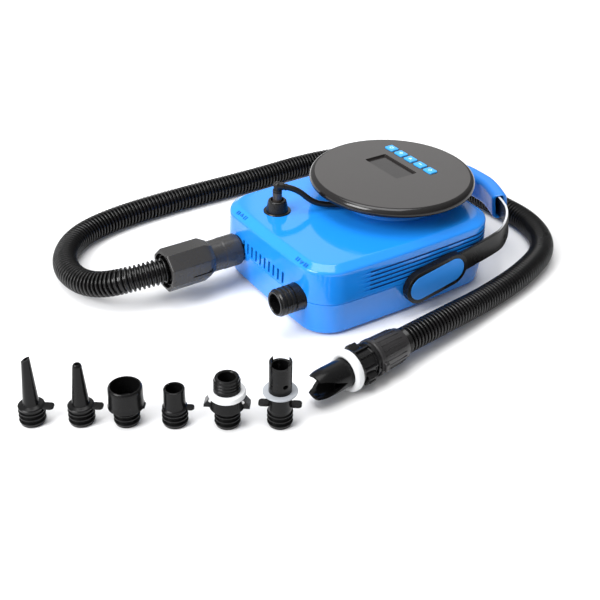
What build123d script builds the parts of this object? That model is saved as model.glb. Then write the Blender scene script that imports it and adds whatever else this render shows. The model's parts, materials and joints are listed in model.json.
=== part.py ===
"""Two-stage electric inflator with a round control panel, swing handle, hose and valve adapters.

Frame: +X along the long side towards the handle, -X the face with the two ports, +Z up.
The origin is the centre of the base, on the surface that the feet stand on. Millimetres.
"""

import os
from math import cos, pi, radians, sin, tan

from build123d import *

os.makedirs("parts", exist_ok=True)

# ---------------------------------------------------------------- driving dimensions
# housing
body_len = 230.0
body_wid = 190.0
end_bow = 3.0
side_bow = 3.5
corner_r = 32.0
wall = 2.6
foot_z = 2.0
seam_z = 38.0
wall_top_z = 72.0
top_z = 77.0
low_inset = 4.5
wall_top_inset = 1.4
bevel_inset = 10.0
lip_h = 1.6
lip_t = 1.5
lip_gap = 0.3

# housing details
boss_x, boss_y = 90.0, 76.0
boss_r = 4.4
screw_r = 1.5
screw_head_r = 2.9
foot_x, foot_y = 76.0, 58.0
foot_r = 10.0
foot_pocket = 1.0
slot_count = 10
slot_pitch = 8.0
slot_w = 3.2
slot_low_z, slot_high_z = 39.9, 52.5
slot_mid_y = 2.0
rib_count = 5
rib_pitch = 4.7
rib_top_z = 63.2
rib_h = 2.0
rib_depth = 1.3
rib_start_x = -65.0

# ports, both on the seam
port_z = seam_z
inflate_y = 50.0
deflate_y = -58.0
port_r = 13.6
port_bore_r = 9.8
port_tip_x = -138.5
port_flange_r = 14.4
spigot_r = 11.4
spigot_x = -80.0
port_hole_r = 13.9

# round control panel
panel_x = 42.0
turret_r = 54.0
turret_wall = 3.0
panel_low_z = 96.0
panel_split_z = 98.6
panel_rim_r = 86.0
panel_face_z = 106.0
panel_wall = 2.2
window_x, window_len, window_wid = 49.0, 54.0, 27.0
window_y = 12.0
button_x = 77.0
button_y = 13.5
button_pitch = 16.2
button_len, button_wid = 13.0, 10.5
button_gap = 0.35
button_travel = 0.8

# socket and lead on the top
socket_x, socket_y = -76.0, 36.0
lead_d = 6.0

# handle
pivot_x, pivot_y, pivot_z = 23.5, 98.4, 36.0
handle_tilt = 9.5
strap_h, strap_t = 24.0, 2.8
pill_half, pill_r = 21.0, 13.0
strap_end_r = 17.5
pin_r = 5.0
pin_clear = 0.05

# hose
hose_d = 26.0
hose_z = hose_d / 2
hose_bore_r = 9.5

# second stage
module = 1.0
pinion_teeth, gear_teeth = 12, 48
gear_y, comp_z = 18.0, 34.0
crank_throw = 3.0
rod_len = 30.0
piston_r = 9.5
cylinder_bore_r = 13.2

# first stage
fan_y, fan_z = deflate_y, port_z
fan_blades = 9


def save(part, label):
    """Label a finished part and write it as its own STEP file."""
    part.label = label
    export_step(part, f"parts/{label}.step")


def housing_outline(inset):
    """Plan outline of the housing, moved inwards by inset: bowed sides and round corners."""
    half_x, half_y = body_len / 2 - inset, body_wid / 2 - inset
    end_x, end_y = half_x - end_bow, half_y - side_bow
    with BuildSketch(mode=Mode.PRIVATE) as outline:
        with BuildLine():
            ThreePointArc((end_x, -end_y), (half_x, 0), (end_x, end_y))
            ThreePointArc((end_x, end_y), (0, half_y), (-end_x, end_y))
            ThreePointArc((-end_x, end_y), (-half_x, 0), (-end_x, -end_y))
            ThreePointArc((-end_x, -end_y), (0, -half_y), (end_x, -end_y))
        make_face()
        fillet(outline.vertices(), corner_r - inset)
    return outline.sketch


def housing_stage(low_z, low_in, high_z, high_in, mode=Mode.ADD):
    """A ruled stage of the housing between two levels, each with its own inset."""
    with BuildSketch(Plane.XY.offset(low_z)) as low:
        add(housing_outline(low_in))
    with BuildSketch(Plane.XY.offset(high_z)) as high:
        add(housing_outline(high_in))
    loft([low.sketch, high.sketch], ruled=True, mode=mode)


def outline_band(low_z, height, outer_in, inner_in, mode=Mode.ADD):
    """A level band that follows the housing outline."""
    with BuildSketch(Plane.XY.offset(low_z)) as band:
        add(housing_outline(outer_in))
        add(housing_outline(inner_in), mode=Mode.SUBTRACT)
    extrude(band.sketch, amount=height, mode=mode)


def round_bar(plane, r, length, mode=Mode.ADD):
    """A cylinder that starts on a plane and runs along its normal."""
    with BuildSketch(plane) as disc:
        Circle(r)
    extrude(disc.sketch, amount=length, mode=mode)


def ring_bar(plane, r, hole_r, length, mode=Mode.ADD):
    """A tube that starts on a plane and runs along its normal."""
    with BuildSketch(plane) as ring:
        Circle(r)
        Circle(hole_r, mode=Mode.SUBTRACT)
    extrude(ring.sketch, amount=length, mode=mode)


def along_x(x, y, z):
    """Plane across the X axis, with its normal along +X."""
    return Plane(origin=(x, y, z), x_dir=(0, 1, 0), z_dir=(1, 0, 0))


def along_y(x, y, z, toward=1):
    """Plane across the Y axis, with its normal along +Y or -Y."""
    return Plane(origin=(x, y, z), x_dir=(toward, 0, 0), z_dir=(0, toward, 0))


def turned(profile_plane, points, axis, mode=Mode.ADD):
    """Revolve a closed polygon, drawn on profile_plane, once around axis."""
    with BuildSketch(profile_plane) as profile:
        with BuildLine():
            Polyline(*points, close=True)
        make_face()
    revolve(profile.sketch, axis=axis, revolution_arc=360, mode=mode)


corner_spots = [(sx * boss_x, sy * boss_y) for sx in (-1, 1) for sy in (-1, 1)]
foot_spots = [(sx * foot_x, sy * foot_y) for sx in (-1, 1) for sy in (-1, 1)] + [(0, 0)]
port_ys = (inflate_y, deflate_y)

# ---------------------------------------------------------------- housing
with BuildPart() as upper_housing:
    housing_stage(seam_z, 0, wall_top_z, wall_top_inset)
    housing_stage(wall_top_z, wall_top_inset, top_z, bevel_inset)
    housing_stage(seam_z, wall, wall_top_z - 1, wall_top_inset + wall, mode=Mode.SUBTRACT)
    housing_stage(wall_top_z - 1, wall_top_inset + wall, top_z - wall, bevel_inset + wall, mode=Mode.SUBTRACT)
    for spot in corner_spots:
        round_bar(Plane(origin=(*spot, seam_z)), boss_r, top_z - wall - seam_z)
        round_bar(Plane(origin=(*spot, seam_z)), screw_r + 0.05, 16, mode=Mode.SUBTRACT)
    for y in port_ys:
        round_bar(along_x(-body_len / 2 - 5, y, port_z), port_hole_r, 14, mode=Mode.SUBTRACT)
    for y in (-1, 1):
        round_bar(along_y(pivot_x, y * (body_wid / 2 - 8), pivot_z, y), pin_r + 0.1, 12, mode=Mode.SUBTRACT)
    with BuildSketch(along_x(-body_len / 2 - 3, slot_mid_y, (slot_low_z + slot_high_z) / 2)):
        with GridLocations(slot_pitch, 0, slot_count, 1):
            Rectangle(slot_w, slot_high_z - slot_low_z)
    extrude(amount=wall + 5, mode=Mode.SUBTRACT)
    with Locations((socket_x, socket_y, top_z - wall / 2)):
        Hole(radius=8.2, depth=2 * wall)
    with Locations((panel_x, 0, top_z - wall / 2)):
        Hole(radius=9, depth=2 * wall)
    for row in range(rib_count):
        rib_z = rib_top_z - row * rib_pitch
        rib_inset = wall_top_inset * (rib_z - seam_z) / (wall_top_z - seam_z)
        with BuildSketch(Plane.XY.offset(rib_z - rib_h / 2)):
            add(housing_outline(-2))
            add(housing_outline(rib_inset + rib_depth), mode=Mode.SUBTRACT)
            with Locations((rib_start_x - body_len, 0)):
                Rectangle(2 * body_len, 2 * body_wid, mode=Mode.SUBTRACT)
        extrude(amount=rib_h, mode=Mode.SUBTRACT)
save(upper_housing.part, "upper_housing")


def saddle(x, y, axis_z, r):
    """A cradle rib that stands on the floor and holds a motor whose axis runs along X."""
    with BuildSketch(Plane(origin=(x, y, 0), x_dir=(0, 1, 0), z_dir=(1, 0, 0))) as rib:
        with Locations((0, (foot_z + wall - 0.4 + axis_z - 0.45 * r) / 2)):
            Rectangle(1.7 * r, axis_z - 0.45 * r - foot_z - wall + 0.4)
        with Locations((0, axis_z)):
            Circle(r, mode=Mode.SUBTRACT)
    extrude(rib.sketch, amount=1.5, both=True)


fan_motor_r, fan_motor_x, fan_motor_len = 18.0, -52.6, 44.0
comp_motor_r, comp_motor_x, comp_motor_len = 18.0, 45.0, 57.0
centre_gap = module * (pinion_teeth + gear_teeth) / 2
comp_motor_y = gear_y + centre_gap
inner_low_inset = low_inset * (seam_z - foot_z - wall) / (seam_z - foot_z) + wall

with BuildPart() as lower_housing:
    housing_stage(foot_z, low_inset, seam_z, 0)
    housing_stage(foot_z + wall, inner_low_inset, seam_z, wall, mode=Mode.SUBTRACT)
    outline_band(seam_z - 4, 4, wall - 0.4, wall + lip_gap + lip_t)
    outline_band(seam_z, lip_h, wall + lip_gap, wall + lip_gap + lip_t)
    for spot in corner_spots:
        round_bar(Plane(origin=(*spot, foot_z + wall - 0.5)), boss_r, seam_z - foot_z - wall + 0.5)
    for saddle_x in (fan_motor_x + 8, fan_motor_x + 34):
        saddle(saddle_x, fan_y, fan_z, fan_motor_r + 0.05)
    for saddle_x in (comp_motor_x + 12, comp_motor_x + 44):
        saddle(saddle_x, comp_motor_y, comp_z, comp_motor_r + 0.05)
    for spot in corner_spots:
        round_bar(Plane(origin=(*spot, 0)), screw_r + 0.15, seam_z + 1, mode=Mode.SUBTRACT)
        round_bar(Plane(origin=(*spot, 0)), screw_head_r + 0.2, 8, mode=Mode.SUBTRACT)
    for spot in foot_spots:
        round_bar(Plane(origin=(*spot, 0)), foot_r + 0.05, foot_z + foot_pocket, mode=Mode.SUBTRACT)
    for y in port_ys:
        round_bar(along_x(-body_len / 2 - 5, y, port_z), port_hole_r, 16, mode=Mode.SUBTRACT)
        round_bar(along_x(-body_len / 2 + 3.9, y, port_z), port_flange_r + 0.4, 9, mode=Mode.SUBTRACT)
    for y in (-1, 1):
        round_bar(along_y(pivot_x, y * (body_wid / 2 - 8), pivot_z, y), pin_r + 0.1, 12, mode=Mode.SUBTRACT)
save(lower_housing.part, "lower_housing")

with BuildPart() as foot_pads:
    for spot in foot_spots:
        round_bar(Plane(origin=(*spot, 0)), foot_r, foot_z + foot_pocket)
    chamfer(foot_pads.edges().group_by(Axis.Z)[0], 0.5)
save(foot_pads.part, "foot_pads")

with BuildPart() as housing_screws:
    for spot in corner_spots:
        round_bar(Plane(origin=(*spot, 5.6)), screw_head_r, 2.4)
        round_bar(Plane(origin=(*spot, 8)), screw_r, 42)
        with BuildSketch(Plane(origin=(*spot, 5.6))) as drive:
            Rectangle(3.4, 0.8)
            Rectangle(0.8, 3.4)
        extrude(drive.sketch, amount=1.2, mode=Mode.SUBTRACT)
save(housing_screws.part, "housing_screws")

# ---------------------------------------------------------------- ports
def port_body():
    """Barbed hose port with a clamping flange, made along X at y = 0."""
    neck = port_r - 1.3
    start = spigot_x
    flange_a, flange_b = -103.0, -105.8
    points = [
        (start, port_bore_r), (start, spigot_r), (flange_a, spigot_r), (flange_a, port_flange_r),
        (flange_b, port_flange_r), (flange_b, port_r), (-121, port_r), (-121, neck),
    ]
    for ring in range(3):
        near = -122.2 - ring * 5
        points += [(near, neck), (near - 0.6, port_r), (near - 2.6, port_r), (near - 3.2, neck)]
    points += [(port_tip_x + 1.2, neck), (port_tip_x, neck - 1.2), (port_tip_x, port_bore_r)]
    return points


port_axis = {y: Axis((0, y, port_z), (1, 0, 0)) for y in port_ys}

with BuildPart() as inflate_port:
    inflate_plane = Plane(origin=(0, inflate_y, port_z), x_dir=(1, 0, 0), z_dir=(0, -1, 0))
    turned(inflate_plane, port_body(), port_axis[inflate_y])
save(inflate_port.part, "inflate_port")

with BuildPart() as deflate_port:
    deflate_plane = Plane(origin=(0, deflate_y, port_z), x_dir=(1, 0, 0), z_dir=(0, -1, 0))
    turned(deflate_plane, port_body(), port_axis[deflate_y])
save(deflate_port.part, "deflate_port")

# ---------------------------------------------------------------- turret and control panel
panel_axis = Axis((panel_x, 0, 0), (0, 0, 1))
panel_plane = Plane(origin=(panel_x, 0, 0), x_dir=(1, 0, 0), z_dir=(0, -1, 0))
lead_route = [
    (-69.2, 31.8, 103.8),
    (-59.8, 26.1, 101.9),
    (-47.0, 18.3, 88.0),
    (-37.6, 12.6, 84.3),
    (-26.5, 5.8, 83.8),
    (-17.1, 0.1, 84.3),
]
lead_out = (Vector(*lead_route[1]) - Vector(*lead_route[0])).normalized()
lead_in = (Vector(*lead_route[-1]) - Vector(*lead_route[-2])).normalized()
gland_plane = Plane(origin=lead_route[-1], z_dir=lead_in)
turret_boss_r, turret_boss_ring = 3.6, 48.5

with BuildPart() as turret_ring:
    ring_bar(Plane(origin=(panel_x, 0, top_z)), turret_r, turret_r - turret_wall, panel_low_z - top_z)
    with Locations(Location((panel_x, 0, top_z))):
        with PolarLocations(turret_boss_ring, 4, start_angle=45):
            Cylinder(turret_boss_r, panel_low_z - top_z, align=(Align.CENTER, Align.CENTER, Align.MIN))
            Cylinder(1.3, panel_low_z - top_z, align=(Align.CENTER, Align.CENTER, Align.MIN), mode=Mode.SUBTRACT)
    round_bar(gland_plane, 4.05, 14, mode=Mode.SUBTRACT)
save(turret_ring.part, "turret_ring")

with BuildPart() as lead_gland:
    round_bar(gland_plane, 5.2, 2.2)
    round_bar(gland_plane.offset(2.2), 4.0, 8.2)
    chamfer(lead_gland.edges().filter_by(GeomType.CIRCLE).sort_by_distance(Vector(*lead_route[-1]))[0], 0.8)
save(lead_gland.part, "lead_gland")

inner_low_z = panel_low_z + panel_wall
board_low_z, board_t = inner_low_z + 0.7, 1.4
board_x, board_y, board_len, board_wid = 59.0, 12.0, 98.0, 56.0

with BuildPart() as panel_base:
    turned(
        panel_plane,
        [
            (0, panel_low_z), (79, panel_low_z), (84, panel_low_z + 0.9), (panel_rim_r - 0.4, panel_split_z),
            (panel_rim_r - 3, panel_split_z), (80, inner_low_z), (0, inner_low_z),
        ],
        panel_axis,
    )
    with Locations(Location((panel_x, 0, panel_low_z))):
        with PolarLocations(turret_boss_ring, 4, start_angle=45):
            CounterBoreHole(1.5, 2.8, 1.2, depth=10)
    with Locations(Location((board_x, board_y, inner_low_z))):
        with GridLocations(board_wid - 8, board_len - 10, 2, 2):
            Cylinder(2.6, board_low_z - inner_low_z, align=(Align.CENTER, Align.CENTER, Align.MIN))
save(panel_base.part, "panel_base")

with BuildPart() as panel_screws:
    with Locations(Location((panel_x, 0, panel_low_z))):
        with PolarLocations(turret_boss_ring, 4, start_angle=45):
            Cylinder(1.25, 11, align=(Align.CENTER, Align.CENTER, Align.MAX))
            Cylinder(2.3, 1.4, align=(Align.CENTER, Align.CENTER, Align.MIN))
save(panel_screws.part, "panel_screws")

cover_under_z = panel_face_z - panel_wall
with BuildPart() as panel_cover:
    turned(
        panel_plane,
        [
            (0, panel_face_z), (78, panel_face_z), (82, panel_face_z - 0.5), (84.6, panel_face_z - 1.8),
            (85.8, panel_face_z - 3.6), (panel_rim_r, panel_face_z - 5.2), (panel_rim_r - 0.2, panel_split_z),
            (panel_rim_r - 3, panel_split_z), (panel_rim_r - 3, panel_face_z - 4), (81, cover_under_z),
            (0, cover_under_z),
        ],
        panel_axis,
    )
    with BuildSketch(Plane.XY.offset(cover_under_z)) as openings:
        with Locations((window_x, window_y)):
            RectangleRounded(window_wid, window_len, 1.5)
        with Locations((button_x, button_y)):
            with GridLocations(0, button_pitch, 1, 5):
                RectangleRounded(button_wid + 2 * button_gap, button_len + 2 * button_gap, 2.0)
    extrude(openings.sketch, amount=panel_wall, mode=Mode.SUBTRACT)
save(panel_cover.part, "panel_cover")

window_t = 1.2
with BuildPart() as display_window:
    with BuildSketch(Plane.XY.offset(cover_under_z - window_t)):
        with Locations((window_x, window_y)):
            RectangleRounded(window_wid + 5, window_len + 5, 2)
    extrude(amount=window_t)
save(display_window.part, "display_window")

board_top_z = board_low_z + board_t
with BuildPart() as display_module:
    with BuildSketch(Plane.XY.offset(board_top_z)):
        with Locations((window_x, window_y)):
            Rectangle(window_wid + 2, window_len + 4)
    extrude(amount=cover_under_z - window_t - board_top_z)
save(display_module.part, "display_module")

with BuildPart() as panel_board:
    with BuildSketch(Plane.XY.offset(board_low_z)):
        with Locations((board_x, board_y)):
            RectangleRounded(board_wid, board_len, 3)
    extrude(amount=board_t)
    with Locations((board_x + 4, board_y - board_len / 2 + 6, board_top_z + 1)):
        Box(8, 8, 2)
save(panel_board.part, "panel_board")

switch_h = 1.6
with BuildPart() as tact_switches:
    with BuildSketch(Plane.XY.offset(board_top_z)):
        with Locations((button_x, button_y)):
            with GridLocations(0, button_pitch, 1, 5):
                Rectangle(6, 6)
    extrude(amount=switch_h)
save(tact_switches.part, "tact_switches")

button_low_z = board_top_z + switch_h + button_travel + 0.1
for index in range(5):
    spot_y = button_y + (2 - index) * button_pitch
    with BuildPart() as button:
        with BuildSketch(Plane.XY.offset(button_low_z)):
            with Locations((button_x, spot_y)):
                RectangleRounded(button_wid + 2.4, button_len + 2, 1.5)
        extrude(amount=cover_under_z - 0.15 - button_low_z)
        with BuildSketch(Plane.XY.offset(button_low_z)):
            with Locations((button_x, spot_y)):
                RectangleRounded(button_wid, button_len, 1.8)
        extrude(amount=panel_face_z + 1.5 - button_low_z)
        fillet(button.edges().group_by(Axis.Z)[-1], 0.5)
    save(button.part, f"panel_button_{index + 1}")

# ---------------------------------------------------------------- socket, plug and lead on the top
boot_top_z, boot_seat_z = 90.0, 87.0
boot_profile = Plane(origin=(socket_x, socket_y, 0), x_dir=(1, 0, 0), z_dir=(0, -1, 0))
boot_axis = Axis((socket_x, socket_y, 0), (0, 0, 1))
with BuildPart() as dc_socket:
    turned(
        boot_profile,
        [
            (0, 66), (8, 66), (8, top_z), (14, top_z), (13.6, top_z + 1.2), (11.8, top_z + 1.6),
            (9.4, boot_top_z), (6.6, boot_top_z), (6.2, boot_seat_z), (0, boot_seat_z),
        ],
        boot_axis,
    )
save(dc_socket.part, "dc_socket")

elbow_r, knuckle_r, collar_r, collar_top_z = 3.9, 4.3, 4.8, 101.0
elbow_z = lead_route[0][2] + 8 * tan(radians(10))
with BuildPart() as panel_plug:
    round_bar(Plane(origin=(socket_x, socket_y, boot_seat_z)), collar_r, collar_top_z - boot_seat_z)
    round_bar(Plane(origin=(socket_x, socket_y, collar_top_z)), elbow_r, elbow_z - collar_top_z)
    with Locations((socket_x, socket_y, elbow_z)):
        Sphere(knuckle_r)
    round_bar(Plane(origin=lead_route[0], z_dir=lead_out * -1), elbow_r, 8.1)
save(panel_plug.part, "panel_plug")


def route_radii(points, name):
    """Largest arc at each corner of a route, at 0.45 of the shorter run; prints them."""
    radii = []
    for before, here, after in zip(points, points[1:], points[2:]):
        run_in = Vector(*here) - Vector(*before)
        run_out = Vector(*after) - Vector(*here)
        half_turn = radians(run_in.get_angle(run_out)) / 2
        radii.append(0.45 * min(run_in.length, run_out.length) / tan(half_turn))
    print(name, "radii", [round(r) for r in radii])
    return radii


def report_tube(part, section, path, name):
    """Print a cord's volume against its section times its length."""
    ratio = part.volume / (section * path.length)
    print(name, "length", round(path.length, 1), "volume ratio", round(ratio, 4))


with BuildPart() as panel_lead:
    with BuildLine() as lead_path:
        FilletPolyline(*lead_route, radius=route_radii(lead_route, "lead"))
    with BuildSketch(Plane(origin=lead_route[0], z_dir=lead_out)):
        Circle(lead_d / 2)
    sweep()
report_tube(panel_lead.part, pi * (lead_d / 2) ** 2, lead_path.wire(), "lead")
save(panel_lead.part, "panel_lead")

# ---------------------------------------------------------------- handle
tilt_x, tilt_z = cos(radians(handle_tilt)), sin(radians(handle_tilt))
handle_plane = Plane(origin=(pivot_x, 0, pivot_z), x_dir=(tilt_x, 0, tilt_z), z_dir=(-tilt_z, 0, tilt_x))
plate_in, plate_out, recess_y = 96.2, 103.8, 99.8


def side_plane(y, side):
    """Plane at the pivot, at distance y from the middle, with x along the strap and normal outwards."""
    return Plane(origin=(pivot_x, side * y, pivot_z), x_dir=(tilt_x, 0, tilt_z), z_dir=(0, side, 0))


def stadium(plane, half, r, length, mode=Mode.ADD):
    """A bar with a slot-shaped section, from a plane along its normal."""
    with BuildSketch(plane) as slot:
        SlotCenterToCenter(2 * half, 2 * r)
    extrude(slot.sketch, amount=length, mode=mode)


strap_corners = [(28, -pivot_y), (92, -pivot_y), (126, -72), (145, 0), (126, 72), (92, pivot_y), (28, pivot_y)]
strap_radii = [54, 56, 150, 56, 54]
with BuildPart() as strap:
    with BuildLine(handle_plane) as strap_path:
        FilletPolyline(*strap_corners, radius=strap_radii)
    strap_start = Plane(origin=strap_path.wire() @ 0, x_dir=(0, 1, 0), z_dir=strap_path.wire() % 0)
    with BuildSketch(strap_start):
        Rectangle(strap_t, strap_h)
    sweep()
    for side in (-1, 1):
        stadium(side_plane(plate_in, side), pill_half, strap_end_r, plate_out - plate_in)
        stadium(side_plane(recess_y, side), pill_half, pill_r, 8, mode=Mode.SUBTRACT)
        round_bar(side_plane(plate_in - 1, side), pin_r + pin_clear, 8, mode=Mode.SUBTRACT)
save(strap.part, "carry_strap")

for side, side_name in ((-1, "right"), (1, "left")):
    with BuildPart() as cap:
        stadium(side_plane(101.4, side), pill_half, pill_r, 2.8)
        for stud in (-pill_half, pill_half):
            with Locations(side_plane(recess_y, side) * Pos(stud, 0, 0)):
                Cylinder(3, 1.8, align=(Align.CENTER, Align.CENTER, Align.MIN))
    save(cap.part, f"pill_cap_{side_name}")
    with BuildPart() as pin:
        round_bar(side_plane(87.4, side), 9, 2.5)
        round_bar(side_plane(89.9, side), pin_r, 10)
        round_bar(side_plane(99.85, side), 7.6, 1.3)
    save(pin.part, f"pivot_pin_{side_name}")

grip_corners = [(131.6, -51), (145, 0), (131.6, 51)]
with BuildPart() as grip:
    with BuildLine(handle_plane) as grip_path:
        FilletPolyline(*grip_corners, radius=150)
    grip_run = grip_path.wire() % 0
    grip_across = grip_run.cross(Vector(*handle_plane.z_dir))
    with BuildSketch(Plane(origin=grip_path.wire() @ 0, x_dir=grip_across, z_dir=grip_run)):
        RectangleRounded(17, 30, 6)
        RectangleRounded(strap_t + 4, strap_h + 1.2, 2, mode=Mode.SUBTRACT)
    sweep()
save(grip.part, "grip_sleeve")

# ---------------------------------------------------------------- hose and its fittings
nut_start_x, nut_step_x, nut_end_x = -116.0, -148.0, -198.0
nut_neck_r, nut_flats = 16.5, 41.0
nut_lip_r, nut_pocket_r = 14.0, 15.2
nut_lip_x0, nut_lip_x1 = -147.0, -144.4
cuff_end_x = -164.0
with BuildPart() as coupling_nut:
    round_bar(along_x(nut_step_x, inflate_y, port_z), nut_neck_r, nut_start_x - nut_step_x)
    with BuildSketch(along_x(nut_end_x, inflate_y, port_z)) as octagon:
        RegularPolygon(nut_flats / 2, 8, major_radius=False, rotation=22.5)
    extrude(octagon.sketch, amount=nut_step_x - nut_end_x - 3)
    with BuildSketch(along_x(nut_step_x - 3, inflate_y, port_z)) as step_low:
        RegularPolygon(nut_flats / 2, 8, major_radius=False, rotation=22.5)
    with BuildSketch(along_x(nut_step_x, inflate_y, port_z)) as step_high:
        RegularPolygon(nut_neck_r, 8, major_radius=False, rotation=22.5)
    loft([step_low.sketch, step_high.sketch], ruled=True)
    round_bar(along_x(nut_end_x, inflate_y, port_z), nut_lip_r, nut_start_x - nut_end_x, mode=Mode.SUBTRACT)
    round_bar(along_x(nut_end_x, inflate_y, port_z), nut_pocket_r, nut_lip_x0 - nut_end_x, mode=Mode.SUBTRACT)
    round_bar(along_x(nut_lip_x1, inflate_y, port_z), nut_pocket_r, 5.6, mode=Mode.SUBTRACT)
save(coupling_nut.part, "coupling_nut")

with BuildPart() as hose_cuff:
    ring_bar(along_x(-143.5, inflate_y, port_z), 14.8, hose_bore_r, 4.2)
    ring_bar(along_x(cuff_end_x, inflate_y, port_z), 13.4, hose_bore_r, -143.5 - cuff_end_x)
save(hose_cuff.part, "hose_cuff")

end_z = 20.0
hose_route = [
    (cuff_end_x, inflate_y, port_z),
    (-222, inflate_y, port_z),
    (-260, 88, 19),
    (-264, 148, hose_z),
    (-232, 196, hose_z),
    (-176, 216, hose_z),
    (-92, 221, hose_z),
    (8, 219, hose_z),
    (98, 224, hose_z),
    (166, 208, hose_z),
    (206, 162, hose_z),
    (217, 96, hose_z),
    (217, 22, hose_z),
    (221, -38, hose_z),
    (193, -90, hose_z),
    (134, -116, hose_z),
    (64, -131, hose_z),
    (-4, -145, end_z),
    (-62, -152, end_z),
]
with BuildPart() as hose:
    with BuildLine() as hose_path:
        FilletPolyline(*hose_route, radius=route_radii(hose_route, "hose"))
    with BuildSketch(along_x(cuff_end_x, inflate_y, port_z)):
        Circle(hose_d / 2)
        Circle(hose_bore_r, mode=Mode.SUBTRACT)
    sweep()
hose_section = pi * ((hose_d / 2) ** 2 - hose_bore_r**2)
report_tube(hose.part, hose_section, hose_path.wire(), "hose")
save(hose.part, "air_hose")

end_dir = (Vector(*hose_route[-1]) - Vector(*hose_route[-2])).normalized()
end_plane = Plane(origin=hose_route[-1], x_dir=(0, 0, 1), z_dir=end_dir)
collar_len, collar_out_r, body_end, gasket_end, tip_end = 38.0, 18.0, 62.0, 70.0, 105.0
gasket_r = 19.8

with BuildPart() as end_collar:
    ring_bar(end_plane, collar_out_r - 1, hose_bore_r, collar_len)
    with Locations(Location(end_plane)):
        with PolarLocations(collar_out_r - 1, 18):
            with Locations((0, 0, collar_len / 2 + 2)):
                Box(2, 2.6, collar_len - 8)
    for tab_angle in (0, 180):
        with Locations(Location(end_plane) * Rot(0, 0, tab_angle) * Pos(0, collar_out_r, collar_len - 6)):
            Box(9, 7, 5)
save(end_collar.part, "end_collar")

with BuildPart() as bayonet_body:
    ring_bar(end_plane.offset(collar_len + 0.1), 14, hose_bore_r, body_end - collar_len - 0.1)
    ring_bar(end_plane.offset(collar_len + 0.1), 16.5, hose_bore_r, 4)
    for wing_angle in (60, 240):
        with Locations(Location(end_plane) * Rot(0, 0, wing_angle) * Pos(15.2, 0, collar_len + 12)):
            Box(8.4, 13, 12)
    chamfer(bayonet_body.edges().filter_by(GeomType.LINE).filter_by(Axis(hose_route[-1], end_dir)), 1.2)
save(bayonet_body.part, "bayonet_body")

with BuildPart() as tip_gasket:
    ring_bar(end_plane.offset(body_end), gasket_r, 13.7, gasket_end - body_end)
    fillet(tip_gasket.edges().filter_by(GeomType.CIRCLE).sort_by(SortBy.RADIUS)[-2:], 2.5)
save(tip_gasket.part, "tip_gasket")

with BuildPart() as valve_tip:
    ring_bar(end_plane.offset(body_end), 13.5, 10.5, tip_end - body_end)
    with BuildSketch(Plane(origin=end_plane.origin, x_dir=end_dir, z_dir=end_plane.y_dir)) as mouth:
        with BuildLine():
            Polyline((gasket_end + 10, 0), (tip_end + 1, 9), (tip_end + 1, -9), close=True)
        make_face()
    extrude(mouth.sketch, amount=20, both=True, mode=Mode.SUBTRACT)
save(valve_tip.part, "valve_tip")

# ---------------------------------------------------------------- loose valve adapters
row_spots = [(-373, -52), (-339, -74), (-308, -95), (-275, -118), (-239, -143), (-202, -167)]
row_turn = 38.0
barb_r, barb_bore_r, barb_h = 11.2, 8.4, 16.0


def row_profile(index):
    """Upright plane through an adapter's axis, facing along the row."""
    turn = radians(row_turn)
    along, facing = (cos(turn), -sin(turn), 0), (-sin(turn), -cos(turn), 0)
    return Plane(origin=(*row_spots[index], 0), x_dir=along, z_dir=facing)


def barbs():
    """Outline of the three-ring barbed base, from the floor up."""
    points = [(barb_bore_r, 0), (barb_r - 1.2, 0)]
    for ring in range(3):
        low = 0.8 + ring * 4.8
        points += [(barb_r - 0.9, low), (barb_r, low + 2.4), (barb_r - 1.2, low + 3.4)]
    return points + [(barb_r - 1.2, barb_h)]


def adapter(index, outer, inner):
    """Revolve an adapter from its outline above the barbs and its bore, at its place in the row."""
    axis = Axis((*row_spots[index], 0), (0, 0, 1))
    turned(row_profile(index), barbs() + outer + inner, axis)


def tab(index, z, reach, width, thick, side=1):
    """A flat finger tab that stands out of an adapter along the row."""
    with BuildSketch(Plane(origin=(*row_spots[index], z), x_dir=row_profile(index).x_dir, z_dir=(0, 0, 1))) as plate:
        with Locations((side * (9 + reach) / 2, 0)):
            RectangleRounded(reach - 9, width, 2)
    extrude(plate.sketch, amount=thick)


with BuildPart() as cone_adapter_long:
    adapter(0, [(9.6, barb_h + 2), (8.6, 22), (3.4, 65)], [(2.0, 65), (6.8, 20), (barb_bore_r, 12)])
    with BuildSketch(row_profile(0)) as slant:
        with BuildLine():
            Polyline((-5, 65.5), (5, 65.5), (5, 59), close=True)
        make_face()
    extrude(slant.sketch, amount=10, both=True, mode=Mode.SUBTRACT)
    tab(0, barb_h, 19, 9, 2)
save(cone_adapter_long.part, "cone_adapter_long")

with BuildPart() as cone_adapter_round:
    adapter(
        1,
        [(9.6, barb_h + 2), (8.2, 22), (4.2, 55), (3.4, 58), (2.6, 59)],
        [(1.6, 59), (6.4, 20), (barb_bore_r, 12)],
    )
    tab(1, barb_h, 19, 9, 2)
save(cone_adapter_round.part, "cone_adapter_round")

with BuildPart() as cup_adapter:
    adapter(
        2,
        [(10, 17), (14.6, 19), (15.4, 36), (14.6, 37.5)],
        [(13, 37.5), (12.6, 20), (barb_bore_r, 17)],
    )
save(cup_adapter.part, "cup_adapter")

with BuildPart() as tube_adapter:
    adapter(3, [(9.4, 17), (9.0, 36)], [(6.8, 36), (6.8, 14), (barb_bore_r, 12)])
    tab(3, barb_h, 17, 8, 2)
save(tube_adapter.part, "tube_adapter")

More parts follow.
